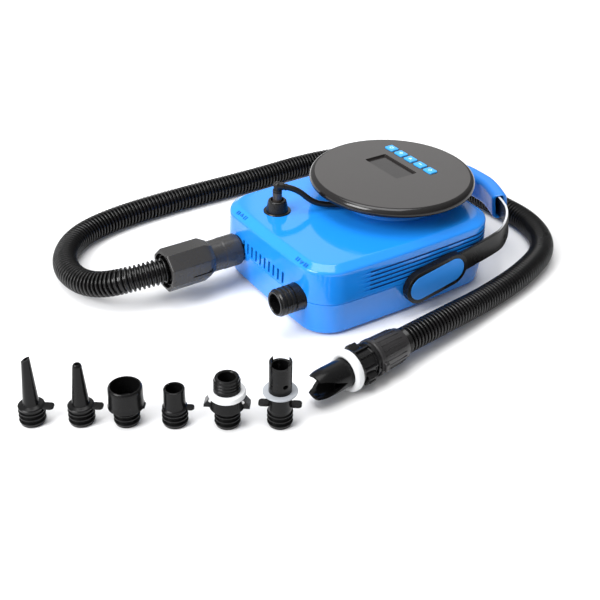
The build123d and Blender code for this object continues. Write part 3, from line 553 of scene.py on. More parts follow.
    def carve(self, cutter: "Shape") -> "Shape":
        """Cut another shape out of this one.

        Args:
            cutter: the shape to take away, which is used up.

        Returns:
            This shape.
        """
        host, tool = self.loose("host"), cutter.loose("tool")
        change = host.modifiers.new("cut", "BOOLEAN")
        change.operation, change.solver, change.object = "DIFFERENCE", "EXACT", tool
        change.material_mode, change.use_self = "INDEX", True
        bpy.context.view_layer.update()
        cut = bpy.data.meshes.new_from_object(host.evaluated_get(bpy.context.evaluated_depsgraph_get()))
        self.bm = bmesh.new()
        self.bm.from_mesh(cut)
        for item in (host, tool):
            mesh = item.data
            bpy.data.objects.remove(item)
            bpy.data.meshes.remove(mesh)
        bpy.data.meshes.remove(cut)
        return self

    def loose(self, name: str) -> bpy.types.Object:
        """This shape as a scene object, still in millimetres; the shape is used up.

        Args:
            name: the object's name.

        Returns:
            The object.
        """
        mesh = bpy.data.meshes.new(name)
        bmesh.ops.recalc_face_normals(self.bm, faces=self.bm.faces)
        self.bm.to_mesh(mesh)
        self.bm.free()
        made = bpy.data.objects.new(name, mesh)
        bpy.context.scene.collection.objects.link(made)
        return made

    def finish(
        self, name: str, body: str, looks: Sequence[Look], replaces: Sequence[str] = (), slot: str = "",
        crease: float = 34.0
    ) -> bpy.types.Object:
        """Turn the shape into a finished piece.

        Args:
            name: the piece's name.
            body: the CAD body that it rides on.
            looks: finishes, in the order of the face slots.
            replaces: CAD nodes that it stands for.
            slot: the record's material slot; not used.
            crease: edges sharper than this many degrees stay crisp.

        Returns:
            The piece's object.
        """
        bmesh.ops.remove_doubles(self.bm, verts=self.bm.verts, dist=MERGE)
        loose = [v for v in self.bm.verts if not v.link_faces]
        bmesh.ops.delete(self.bm, geom=loose, context="VERTS")
        bmesh.ops.scale(self.bm, vec=(MM, MM, MM), verts=self.bm.verts)
        for face in self.bm.faces:
            face.smooth = True
        for edge in self.bm.edges:
            edge.smooth = edge.is_manifold and edge.calc_face_angle(0.0) < math.radians(crease)
        mesh = bpy.data.meshes.new(name)
        self.bm.to_mesh(mesh)
        self.bm.free()
        made = bpy.data.objects.new(name, mesh)
        bpy.context.scene.collection.objects.link(made)
        for look in looks:
            mesh.materials.append(look.value.material())
        weigh = made.modifiers.new("flats", "WEIGHTED_NORMAL")
        weigh.keep_sharp = True
        weigh.weight = FLAT_WEIGHT
        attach(made, body)
        if replaces:
            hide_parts(*replaces)
        log.info("%s: %d faces on %s", name, len(mesh.polygons), body)
        return made


def bevel(bm: bmesh.types.BMesh, edges: Sequence[bmesh.types.BMEdge], offset: float, segments: int) -> None:
    """Round some edges.

    Args:
        bm: the mesh.
        edges: its edges to round.
        offset: how far.
        segments: edges in each round.
    """
    bmesh.ops.bevel(
        bm, geom=list(edges), offset=offset, segments=segments, affect="EDGES", profile=0.5, material=-1,
        clamp_overlap=True,
    )


def soften(bm: bmesh.types.BMesh, offset: float, segments: int = 2, angle: float = 30.0) -> None:
    """Round every edge sharper than angle degrees; nothing at offset 0.

    Args:
        bm: the mesh.
        offset: how far the edges are rounded.
        segments: edges in each round.
        angle: the least angle between an edge's faces, in degrees.
    """
    if offset > 0:
        sharp = [e for e in bm.edges if e.is_manifold and e.calc_face_angle(0.0) > math.radians(angle)]
        bevel(bm, sharp, offset, segments)


def round_plate(width: float, height: float, corner: float, segments: int) -> bmesh.types.BMesh:
    """A flat rectangle with round corners, about its centre.

    Args:
        width: size along X.
        height: size along Y.
        corner: distance from each corner at which its round starts.
        segments: edges in each round corner.

    Returns:
        A new bmesh of one face.
    """
    bm = bmesh.new()
    bmesh.ops.create_grid(bm, x_segments=1, y_segments=1, size=0.5)
    bmesh.ops.scale(bm, vec=(width, height, 1), verts=bm.verts)
    bmesh.ops.bevel(
        bm, geom=list(bm.verts), offset=corner, segments=segments, affect="VERTICES", profile=0.5,
        material=-1
    )
    return bm


def round_rect(width: float, height: float, corner: float, segments: int = 5) -> list[Pair]:
    """Outline of a rectangle with round corners, about its centre.

    Args:
        width: size along X.
        height: size along Y.
        corner: distance from each corner at which its round starts.
        segments: edges in each round corner.

    Returns:
        The outline's points in order.
    """
    bm = round_plate(width, height, corner, segments)
    bm.faces.ensure_lookup_table()
    outline = [(loop.vert.co.x, loop.vert.co.y) for loop in bm.faces[0].loops]
    bm.free()
    return outline


def smooth_line(points: Sequence[Triple], steps: int) -> list[Vector]:
    """Points read from the NURBS spline through a route's control points, same units as the route.

    Args:
        points: the route's control points.
        steps: points read for each span of the spline.

    Returns:
        The spline's points in order.
    """
    curve = route_curve("line", points, steps)
    item = bpy.data.objects.new("line", curve)
    bpy.context.scene.collection.objects.link(item)
    bpy.context.view_layer.update()
    mesh = bpy.data.meshes.new_from_object(item.evaluated_get(bpy.context.evaluated_depsgraph_get()))
    line = [v.co.copy() for v in mesh.vertices]
    bpy.data.objects.remove(item)
    bpy.data.curves.remove(curve)
    bpy.data.meshes.remove(mesh)
    return line


def route_curve(name: str, points: Sequence[Triple], steps: int) -> bpy.types.Curve:
    """An open NURBS curve with a route's points as its control points.

    Args:
        name: the curve's name.
        points: the route's points.
        steps: the spline's resolution.

    Returns:
        The curve, with no bevel.
    """
    curve = bpy.data.curves.new(name, "CURVE")
    curve.dimensions = "3D"
    spline = curve.splines.new("NURBS")
    spline.points.add(len(points) - 1)
    for control, point in zip(spline.points, points):
        control.co = (*point, 1)
    spline.order_u = 3
    spline.use_endpoint_u = True
    spline.resolution_u = steps
    return curve


def even_places(line: Sequence[Vector], stations: Callable[[float], list[float]],
                across: Vector) -> list[Matrix]:
    """Places along a line, turned as little as possible from one to the next.

    Args:
        line: the points of the line.
        stations: gives the distances along it, from its length.
        across: the first place's X direction.

    Returns:
        One place per station, Z along the line.
    """
    runs = [(b - a).length for a, b in zip(line, line[1:])]
    wanted, places, walked, index, side = stations(sum(runs)), [], 0.0, 0, across
    for distance in wanted:
        while index < len(runs) - 1 and walked + runs[index] < distance:
            walked += runs[index]
            index += 1
        start, end = line[index], line[index + 1]
        point = start.lerp(end, (distance - walked) / max(runs[index], 1e-9))
        before, after = line[max(index - 1, 0)], line[min(index + 2, len(line) - 1)]
        place = facing(point, after - before, side)
        side = place.col[0].to_3d()
        places.append(place)
    return places


def circle(radius: float, steps: int) -> list[Vector]:
    """Points round a circle about Z.

    Args:
        radius: of the circle.
        steps: how many points.

    Returns:
        The points in order.
    """
    return [Vector((radius, 0, 0)) @ Matrix.Rotation(math.tau * i / steps, 3, "Z") for i in range(steps)]


# ---------------------------------------------------------------- housing
@dataclass
class Housing:
    """The two blue half shells with slots, grooves, port holes and marks."""

    corner: float = 32.0
    end_bow: float = 3.0
    side_bow: float = 3.5
    wall: float = 2.6
    seam: float = 38.0
    wall_top: float = 72.0
    wall_lean: float = 1.4
    bevel_in: float = 10.0
    low_in: float = 4.5
    groove_top: float = 63.2
    groove_pitch: float = 4.7
    groove_count: int = 5
    groove_half: float = 0.95
    groove_depth: float = 1.3
    groove_start: float = -57.0
    groove_fade: float = 2.5
    slot_pitch: float = 8.0
    slot_count: int = 10
    slot_size: Pair = (3.2, 12.6)
    slot_mid: Pair = (2.0, 46.2)
    hole_r: float = 13.9

    def __post_init__(self) -> None:
        """Read the housing's outer sizes from the frame."""
        low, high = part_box("upper_housing")
        self.length, self.width = (high.x - low.x) / MM, (high.y - low.y) / MM
        self.top = high.z / MM

    def outline(self) -> list[tuple[Vector, Vector]]:
        """Plan outline of the housing: points with their outward normals.

        Returns:
            The points in order, each with its normal.
        """
        half_x, half_y = self.length / 2, self.width / 2
        bm = round_plate(self.length, self.width, self.corner, 14)
        long_edges = [e for e in bm.edges if e.calc_length() > self.corner]
        bmesh.ops.subdivide_edges(bm, edges=long_edges, cuts=17)
        for side in (-1, 1):
            for target in (self.groove_start, self.groove_start + self.groove_fade):
                line = [v for v in bm.verts if abs(v.co.y - side * half_y) < 0.01]
                min(line, key=lambda v: abs(v.co.x - target)).co.x = target
        for vert in bm.verts:
            x, y = vert.co.x, vert.co.y
            vert.co.x = x * (1 - self.end_bow / half_x * (y / half_y) ** 2)
            vert.co.y = y * (1 - self.side_bow / half_y * (x / half_x) ** 2)
        bm.faces.ensure_lookup_table()
        points = [loop.vert.co.copy() for loop in bm.faces[0].loops]
        bm.free()
        turn = Matrix.Rotation(-math.pi / 2, 3, "Z")
        pairs = []
        for before, here, after in zip(points[-1:] + points, points, points[1:] + points[:1]):
            normal = (turn @ ((here - before).normalized() + (after - here).normalized())).normalized()
            pairs.append((here, normal if normal.dot(here) > 0 else -normal))
        return pairs

    def ring(self, base: Sequence[tuple[Vector, Vector]], inset: float, height: float,
             cut: float = 0.0) -> list[Vector]:
        """The outline moved inwards and up, with the grooves' extra depth where they run.

        Args:
            base: the outline.
            inset: how far it moves inwards.
            height: how high it stands.
            cut: extra inset along the grooves' run.

        Returns:
            The moved points.
        """
        points = []
        for point, normal in base:
            depth = inset + cut * min(1.0, max(0.0, (point.x - self.groove_start) / self.groove_fade))
            points.append(Vector((point.x, point.y, height)) - normal * depth)
        return points

    def upper(self, base: Sequence[tuple[Vector, Vector]]) -> None:
        """The upper shell with its grooves, slots, port holes and top openings.

        Args:
            base: the outline.
        """
        wall, top = self.wall, self.top
        levels = [
            (14.0, top - wall, 0), (12.6, top - wall, 0), (4.2, self.wall_top - 1.2, 0),
            (wall, self.seam, 0), (0.75, self.seam, 0), (0.2, self.seam + 0.35, 0),
            (0.03, self.seam + 0.8, 0),
        ]
        lean = self.wall_lean / (self.wall_top - self.seam)
        for row in reversed(range(self.groove_count)):
            level = self.groove_top - row * self.groove_pitch
            low, high = level - self.groove_half, level + self.groove_half
            for z, cut in (
                (low - 0.2, 0), (low, self.groove_depth * 0.2), (low + 0.1, self.groove_depth),
                (high - 0.1, self.groove_depth), (high, self.groove_depth * 0.2), (high + 0.2, 0),
            ):
                levels.append((lean * (z - self.seam), z, cut))
        levels += [
            (1.2, 68.4, 0), (1.3, 70.0, 0), (1.65, 71.2, 0), (2.4, 72.2, 0), (3.5, 73.05, 0),
            (8.2, 75.95, 0), (8.9, 76.35, 0), (9.6, 76.7, 0), (10.5, top - 0.06, 0), (11.6, top, 0),
            (16.0, top, 0),
        ]
        shell = Shape().skin(self.ring(base, *level) for level in levels)
        # The groove faces get the darker blue, which paints shade into the grooves.
        self.paint_groove_shade(shell)
        shell.carve(self.openings())
        shell.finish("housing_upper_shell", "pump", [Look.SHELL, Look.GROOVE_SHADE], ["upper_housing"],
                     "blue_shell")

    def paint_groove_shade(self, shell: Shape) -> None:
        """Give the grooves' floors and flanks the second finish, a darker blue painted in as shade.

        Args:
            shell: the upper shell before it is cut.
        """
        for face in shell.bm.faces:
            centre = face.calc_center_median()
            rise = max(v.co.z for v in face.verts) - min(v.co.z for v in face.verts)
            row = (self.groove_top - centre.z) / self.groove_pitch
            in_row = -0.5 < row < self.groove_count - 0.5
            near = abs(row - round(row)) * self.groove_pitch < self.groove_half
            if in_row and near and rise < 2 * self.groove_half and centre.x > self.groove_start + 0.5:
                face.material_index = 1

    def openings(self) -> Shape:
        """Cutter for the air slots and the port holes.

        Returns:
            The cutter.
        """
        cutter = Shape()
        face_x = -self.length / 2
        for index in range(self.slot_count):
            y = self.slot_mid[0] + (index - (self.slot_count - 1) / 2) * self.slot_pitch
            cutter.block((12, *self.slot_size), Matrix.Translation((face_x, y, self.slot_mid[1])))
        self.port_holes(cutter)
        return cutter

    def port_holes(self, cutter: Shape) -> None:
        """Add the two port holes to a cutter.

        Args:
            cutter: the shape that they are added to.
        """
        for node in ("inflate_port", "deflate_port"):
            centre = middle(node)
            place = facing((-self.length / 2 - 8, centre.y, centre.z), (1, 0, 0))
            cutter.rod(self.hole_r, 0, 20, place)

    def lower(self, base: Sequence[tuple[Vector, Vector]]) -> None:
        """The lower shell with its screw holes and foot pockets.

        Args:
            base: the outline.
        """
        wall, seam = self.wall, self.seam
        lean = self.low_in / (seam - 2)
        levels = [
            (12.0, 4.6), (7.2, 4.6), (wall + 3.6, 6.4), (wall, seam), (0.75, seam), (0.2, seam - 0.35),
            (0.05, seam - 0.8), (lean * 12, 26.0), (lean * 24, 14.0), (lean * 30, 8.0), (4.05, 6.0),
            (4.5, 4.4), (5.4, 3.1), (6.6, 2.35), (8.2, 2.0), (14.0, 2.0),
        ]
        shell = Shape().skin(self.ring(base, *level) for level in levels)
        cutter = Shape()
        for x in (-90, 90):
            for y in (-76, 76):
                cutter.rod(3.1, 0, 5.6, Matrix.Translation((x, y, 0)), 32)
        for x, y in [(a, b) for a in (-76, 76) for b in (-58, 58)] + [(0, 0)]:
            cutter.rod(10.3, 0, 3, Matrix.Translation((x, y, 0)), 40)
        self.port_holes(cutter)
        shell.carve(cutter)
        shell.finish("housing_lower_shell", "pump", [Look.SHELL], ["lower_housing"], "blue_shell")

    def marks(self) -> None:
        """A small arrow and bars on the bevel over each port, one pointing out and one in."""
        slope = Vector((-self.bevel_in + self.wall_lean, 0, self.wall_top - self.top)).normalized()
        normal = Vector((slope.z, 0, -slope.x))
        stamp = Shape()
        for node, sign in (("deflate_port", 1), ("inflate_port", -1)):
            place = facing((-self.length / 2 + 5.9, middle(node).y, 74.62), normal, slope)
            for y in (-8, -5, 5, 8):
                stamp.block((4.2, 0.9, 0.35), place @ Matrix.Translation((0, y, 0)))
            arrow = [(2.4 * sign, 0), (-1.2 * sign, 2.6), (-1.2 * sign, -2.6)]
            stamp.prism(arrow, 0.17, place)
        stamp.finish("housing_marks", "pump", [Look.STAMP], slot="blue_shell")

    def build(self) -> None:
        """Build both shells and the marks."""
        base = self.outline()
        self.upper(base)
        self.lower(base)
        self.marks()


@dataclass
class Ports:
    """The two ringed hose ports."""

    radius: float = 13.6
    bore: float = 9.8
    groove: float = 1.25
    rings: int = 3
    ring_pitch: float = 5.0
    ring_run: float = 17.1
    root: float = -103.0

    def profile(self, length: float) -> list[Pair]:
        """Outline of a port from inside the wall to its tip, heights outwards.

        Args:
            length: from the wall to the tip.

        Returns:
            Points of (radius, height), closed round the ring.
        """
        neck = self.radius - self.groove
        points = [(self.bore, -18), (11.4, -18), (11.4, 0), (self.radius, 0),
                  (self.radius, length - self.ring_run - 0.5)]
        for ring in range(self.rings):
            start = length - self.ring_run + ring * self.ring_pitch
            points += [(neck, start), (neck, start + 1.1), (self.radius - 0.25, start + 1.5),
                       (self.radius, start + 2.4)]
            points += [(self.radius - 0.1, start + 4.2)]
        points += [(neck, length - 1.8), (neck - 0.1, length - 0.5), (neck - 0.7, length),
                   (self.bore + 0.5, length)]
        return points + [(self.bore, length - 0.6)]

    def build(self) -> None:
        """Build both ports."""
        for node in ("inflate_port", "deflate_port"):
            low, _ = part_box(node)
            centre = middle(node)
            place = facing((self.root, centre.y, centre.z), (-1, 0, 0))
            ringed = Shape().lathe(self.profile(self.root - low.x / MM), place, 72)
            ringed.finish(f"{node}_ringed", "pump", [Look.PORT], [node], "port_black")


# ---------------------------------------------------------------- control disc
@dataclass
class ControlDisc:
    """The turret, the round panel on it, its display and its five keys."""

    rim: float = 86.0
    flat: float = 80.6
    under: float = 103.8
    split: float = 98.6
    window: Triple = (27.0, 54.0, 1.5)
    key: Triple = (10.5, 13.0, 1.9)
    key_gap: float = 0.35
    key_names: tuple[str, ...] = tuple(f"panel_button_{i}" for i in range(1, 6))

    def turret(self, centre: Vector) -> None:
        """The blue ring that carries the panel, with a fillet at its foot.

        Args:
            centre: the disc's centre.
        """
        low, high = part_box("turret_ring")
        foot, top = low.z / MM, high.z / MM
        outer = (high.x - low.x) / 2 / MM
        profile = [
            (outer - 3, foot - 0.5), (outer, foot - 0.5), (outer, foot + 0.9), (outer - 0.35, foot + 1.5),
            (outer - 0.45, foot + 2.6), (outer - 0.45, top - 0.6), (outer - 0.9, top), (outer - 3, top),
        ]
        ring = Shape().lathe(profile, Matrix.Translation((centre.x, centre.y, 0)), 112)
        ring.finish("turret_shell", "pump", [Look.SHELL], ["turret_ring"], "blue_shell")

    def cover(self, centre: Vector) -> None:
        """The grey panel with its rolled dark rim, window recess and key openings.

        Args:
            centre: the disc's centre.
        """
        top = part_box("panel_cover")[1].z / MM
        place = Matrix.Translation((centre.x, centre.y, 0))
        plate = Shape().rod(self.flat, top, self.under, place, 144)
        cutter = Shape()
        window = middle("display_window")
        cutter.slab((*self.window[:2], 10), self.window[2], Matrix.Translation((window.x, window.y,
            self.under - 3)))
        for node in self.key_names:
            spot = middle(node)
            size = (self.key[0] + 2 * self.key_gap, self.key[1] + 2 * self.key_gap, 10)
            cutter.slab(size, self.key[2], Matrix.Translation((spot.x, spot.y, self.under - 3)))
        plate.carve(cutter)
        plate.finish("panel_plate", "pump", [Look.DISC], slot="panel_grey")
        profile = [
            (self.flat, self.under - 0.4), (self.flat, top - 0.02), (81.6, top - 0.16),
            (82.6, top - 0.55), (83.6, top - 1.15), (84.5, top - 2.0), (85.2, top - 3.1),
            (85.7, top - 4.3), (85.95, top - 5.5), (self.rim, top - 6.4), (85.8, self.split + 0.35),
            (85.3, self.split), (83, self.split), (83, top - 4), (81, self.under),
        ]
        rolled = Shape().lathe(profile, place, 144)
        rolled.finish("panel_rim", "pump", [Look.RIM], ["panel_cover"], "panel_grey")
        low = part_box("panel_base")[0].z / MM
        under = [
            (0, low), (78, low), (81.5, low + 0.25), (84, low + 0.9), (85.3, low + 1.7),
            (85.6, self.split - 0.2), (85.2, self.split), (83, self.split), (80, low + 2.2),
            (0, low + 2.2),
        ]
        base = Shape().lathe(under, place, 128)
        base.finish("panel_underside", "pump", [Look.RIM], ["panel_base"], "panel_black")

    def keys(self) -> None:
        """Five keys with a soft crown and a small mark each."""
        for index, node in enumerate(self.key_names):
            low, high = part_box(node)
            spot = middle(node)
            foot, top = low.z / MM, high.z / MM
            key = Shape()
            key.slab((self.key[0] + 2.2, self.key[1] + 1.8, 1.2), 1.5,
                     Matrix.Translation((spot.x, spot.y, foot)))
            key.slab((*self.key[:2], top - foot - 0.12), self.key[2],
                     Matrix.Translation((spot.x, spot.y, foot)), 1.0, 4)
            key.slot = 1
            self.mark(key, index, Matrix.Translation((spot.x, spot.y, top - 0.12)))
            key.finish(f"key_{index + 1}", f"button_{index + 1}", [Look.KEY, Look.MARK], [node],
                       "button_blue")

    def mark(self, key: Shape, index: int, place: Matrix) -> None:
        """Raise one generic mark on a key: a ring and stroke, plus, minus, triangle or square frame.

        Args:
            key: the key's shape.
            index: which key, from 0.
            place: the middle of its top.
        """
        thick = 0.22
        if index == 0:
            key.lathe([(1.7, -0.1), (2.4, -0.1), (2.4, 0.11), (1.7, 0.11)], place, 24)
            key.block((2.4, 0.7, thick), place @ Matrix.Translation((1.6, 0, 0)))
        elif index in (1, 3):
            key.block((0.9, 4.6, thick), place)
            if index == 1:
                key.block((4.6, 0.9, thick + 0.01), place)
        elif index == 2:
            corners = [(2.2, 0), (-1.7, 2.3), (-1.7, -2.3)]
            key.prism(corners, 0.11, place)
        else:
            key.lathe([(1.7, -0.1), (2.4, -0.1), (2.4, 0.11), (1.7, 0.11)], place, 4)

    def build(self) -> None:
        """Build the disc and everything on it."""
        centre = middle("turret_ring")
        self.turret(centre)
        self.cover(centre)
        self.keys()


# ---------------------------------------------------------------- socket and lead
@dataclass
class SocketAndLead:
    """The black boot on the top, its plug and the short lead to the disc."""

    diameter: float = 6.0
    cut_length: float = 0.0667
    route: tuple[Triple, ...] = (
        (-69.2, 31.8, 103.8), (-59.8, 26.1, 101.9), (-47.0, 18.3, 88.0),
        (-37.6, 12.6, 84.3), (-26.5, 5.8, 83.8), (-17.1, 0.1, 84.3),
    )

    def boot(self) -> None:
        """The tapered boot with a faceted skirt and two notched ears."""
        low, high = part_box("dc_socket")
        centre, top = middle("dc_socket"), high.z / MM
        place = Matrix.Translation((centre.x, centre.y, 0))
        boot = Shape()
        boot.lathe([(0, 70), (13.9, 70), (13.9, 77.5), (13.3, 78.2), (12.2, 78.4), (0, 78.4)], place, 56)
        boot.lathe([(0, 77), (11.7, 77), (11.4, 79), (9.6, top - 2.2), (9.1, top - 0.8), (8.2, top - 0.2),
                    (6.9, top - 0.2), (6.6, top - 0.8), (6.3, top - 3), (0, top - 3)],
                    place @ Matrix.Rotation(0.2, 4, "Z"),
                    12, 0.35)
        for angle in (0.55, 0.55 + math.pi):
            ear = place @ Matrix.Rotation(angle, 4, "Z") @ Matrix.Translation((7.4, 0, top - 2.2))
            boot.block((1.6, 4.2, 4.2), ear, 0.5)
        boot.finish("socket_boot", "pump", [Look.PORT], ["dc_socket"], "port_black")

    def plug(self) -> bpy.types.Object:
        """The plug's glossy collar, its dark ring and its elbow.

        Returns:
            The plug's piece.
        """
        centre = middle("dc_socket")
        place = Matrix.Translation((centre.x, centre.y, 0))
        start = Vector(self.route[0])
        out = (start - Vector(self.route[1])).normalized()
        knee = start.z + 8 * math.tan(math.radians(10))
        plug = Shape()
        plug.slot = 1
        plug.lathe([(0, 87), (4.75, 87), (4.75, 97.6), (4.5, 98.0), (0, 98.0)], place, 40)
        plug.slot = 0
        plug.lathe([(0, 97.6), (4.0, 97.6), (4.0, 98.5), (4.75, 98.6), (4.75, 100.4), (4.4, 101),
                    (3.9, 101.1), (3.9, knee), (3.8, knee + 1.2), (3.3, knee + 2.5), (2.3, knee + 3.5),
                    (1.1, knee + 3.9), (0, knee + 4.0)], place, 40)
        sleeve = [(0, -1.6), (3.3, -1.6), (3.5, -1.3), (3.5, 0.4), (3.2, 0.7), (3.2, 1.3), (3.7, 1.7),
                  (3.85, 3.2), (3.85, 8.3), (3.2, 10.3), (1.8, 11.6), (0, 12.0)]
        plug.lathe(sleeve, facing(start, out), 36)
        return plug.finish("lead_plug", "pump", [Look.LEAD, Look.COLLAR], ["panel_plug"], "lead_black")

    def lead(self, plug: bpy.types.Object) -> None:
        """The short lead, a smooth round cord.

        Args:
            plug: the plug on its far end; not used.
        """
        points = [tuple(c * MM for c in p) for p in self.route]
        curve = route_curve("panel_lead_cord", points, 24)
        curve.bevel_depth = self.diameter / 2 * MM
        curve.bevel_resolution = 6
        curve.use_fill_caps = True
        item = bpy.data.objects.new("panel_lead_cord", curve)
        bpy.context.scene.collection.objects.link(item)
        curve.materials.append(Look.LEAD.value.material())
        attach(item, "pump")
        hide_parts("panel_lead")
        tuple(points[-1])
        log.info("panel_lead_cord: round lead on pump")

    def gland(self) -> None:
        """The ribbed gland where the lead goes into the turret."""
        inward = (Vector(self.route[-1]) - Vector(self.route[-2])).normalized()
        profile = [(0, 0), (3.9, 0), (4.3, 0.4), (4.3, 1.0), (5.2, 1.2), (5.2, 2.2), (4.0, 2.3),
                   (4.0, 10.4), (0, 10.4)]
        gland = Shape().lathe(profile, facing(self.route[-1], inward), 40)
        gland.finish("lead_gland_ring", "pump", [Look.LEAD], ["lead_gland"], "lead_black")

    def build(self) -> None:
        """Build the boot, plug, lead and gland."""
        self.boot()
        self.lead(self.plug())
        self.gland()


# ---------------------------------------------------------------- hose and its fittings
@dataclass
class Hose:
    """The corrugated hose, a limp tube that lies on the floor round the pump."""

    crest: float = 13.0
    root: float = 10.3
    pitch: float = 4.4
    around: int = 30
    plain: float = 4.0
    cut_length: float = 1.2051
    route: tuple[Triple, ...] = (
        (-164, 50, 38), (-222, 50, 38), (-260, 88, 19), (-264, 148, 13), (-232, 196, 13), (-176, 216, 13),
        (-92, 221, 13), (8, 219, 13), (98, 224, 13), (166, 208, 13), (206, 162, 13), (217, 96, 13),
        (217, 22, 13), (221, -38, 13), (193, -90, 13), (134, -116, 13), (64, -131, 13), (-4, -145, 20),
        (-62, -152, 20),
    )

    def rings(self, places: Sequence[Matrix], radii: Sequence[float]) -> Iterable[list[Vector]]:
        """A ring of points at each place, with its radius.

        Args:
            places: along the hose, Z with it.
            radii: the radius at each place.
        """
        unit = circle(1.0, self.around)
        for place, radius in zip(places, radii):
            yield [place @ (point * radius) for point in unit]

    def build(self, pieces: Sequence[bpy.types.Object | str]) -> None:
        """Args:
            pieces: the pieces on the hose's end; not used.
        """
        line = smooth_line(self.route, 60)
        shoulder = self.crest - 0.5
        rib = [(0.0, self.root), (0.26, self.root), (0.40, shoulder), (0.5, self.crest), (0.74, self.crest),
               (0.84, shoulder)]
        radii: list[float] = []

        def stations(length: float) -> list[float]:
            """Distances for every rib, from a short plain cuff at each end."""
            ribbed = length - 2 * self.plain
            count = round(ribbed / self.pitch)
            step = ribbed / count
            marks = [0.0]
            radii.append(self.root + 0.6)
            for index in range(count):
                for share, radius in rib:
                    marks.append(self.plain + (index + share) * step)
                    radii.append(radius)
            marks.append(length)
            radii.append(self.root + 0.6)
            return marks

        places = even_places(line, stations, Vector((0, 0, 1)))
        shape = Shape().skin(self.rings(places, radii))
        hose = shape.finish("air_hose_ribbed", "pump", [Look.HOSE], ["air_hose"], "hose_black", 60.0)
        start = tuple(c * MM for c in self.route[0])


@dataclass
class Coupling:
    """The eight-sided nut on the inflate port and the cuff inside it."""

    neck: float = 16.4
    flats: float = 41.0
    mouth: float = 17.6
    sides: int = 8
    neck_run: float = 32.0

    def nut(self) -> None:
        """The nut: its eight-sided open end, its round neck, the bore and the latch slits."""
        low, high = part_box("coupling_nut")
        centre = middle("coupling_nut")
        length = (high.x - low.x) / MM
        open_end = facing((low.x / MM, centre.y, centre.z), (1, 0, 0))
        corner = self.flats / 2 / math.cos(math.pi / self.sides)
        turned = open_end @ Matrix.Rotation(math.pi / self.sides, 4, "Z")
        step = length - self.neck_run
        nut = Shape()
        body = [(0, 0), (corner - 1.2, 0), (corner - 0.1, 1.1), (corner, 2.5), (corner, step - 9),
                (17.4, step - 0.2), (0, step)]
        nut.lathe(body, turned, self.sides, 0.5)
        neck = [(0, step - 8), (self.neck - 0.3, step - 8), (self.neck - 0.3, step + 12),
                (self.neck - 0.1, step + 12.3), (self.neck - 0.1, step + 13.2),
                (self.neck + 0.1, step + 13.6), (self.neck + 0.1, length - 1.4),
                (self.neck - 0.8, length - 0.1), (0, length - 0.1)]
        joint = Shape().lathe(neck, open_end, 72)
        cutter = Shape()
        cutter.lathe([(0, -2), (self.mouth, -2), (self.mouth, 12), (15.3, 15), (15.3, 51), (14.1, 51),
                      (14.1, length + 4), (0, length + 4)], open_end, 64)
        joint.carve(Shape().rod(14.1, -2, length + 4, open_end, 64))
        slit = Matrix.Translation((low.x / MM + step - 17, centre.y - 19.2, centre.z - 4.6))
        cutter.block((22, 3.2, 1.3), slit @ Matrix.Rotation(math.radians(-20), 4, "X"))
        cutter.block((5, 3.0, 3.4), slit @ Matrix.Translation((9, 0, 1.6)))
        nut.carve(cutter)
        nut.lathe([(14.6, 3.2), (15.0, 2.8), (15.9, 2.8), (16.3, 3.2), (16.3, 16), (14.6, 16)], open_end,
                  64)
        nut.take(joint.bm)
        nut.finish("coupling_shell", "nut", [Look.NUT], ["coupling_nut"], "fitting_black")

    def cuff(self) -> None:
        """The flanged cuff that ends the hose inside the nut."""
        centre = middle("coupling_nut")
        cuff_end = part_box("hose_cuff")[0].x / MM
        place = facing((cuff_end, centre.y, centre.z), (1, 0, 0))
        cuff = Shape().lathe([(9.5, 20.5), (14.8, 20.5), (14.8, 24.7), (9.5, 24.7)], place, 56, 0.4)
        cuff.lathe([(11.2, -26), (14.2, -26), (15.0, -25.2), (15.0, -22.6), (14.4, -22), (13.6, -21.6),
                    (13.4, 0), (13.3, 20.6), (9.5, 20.6), (9.5, 0), (10.6, -1)], place, 56)
        cuff.finish("hose_cuff_ring", "pump", [Look.FITTING], ["hose_cuff"], "fitting_black")

    def build(self) -> None:
        """Build the nut and the hose's cuff."""
        self.nut()
        self.cuff()


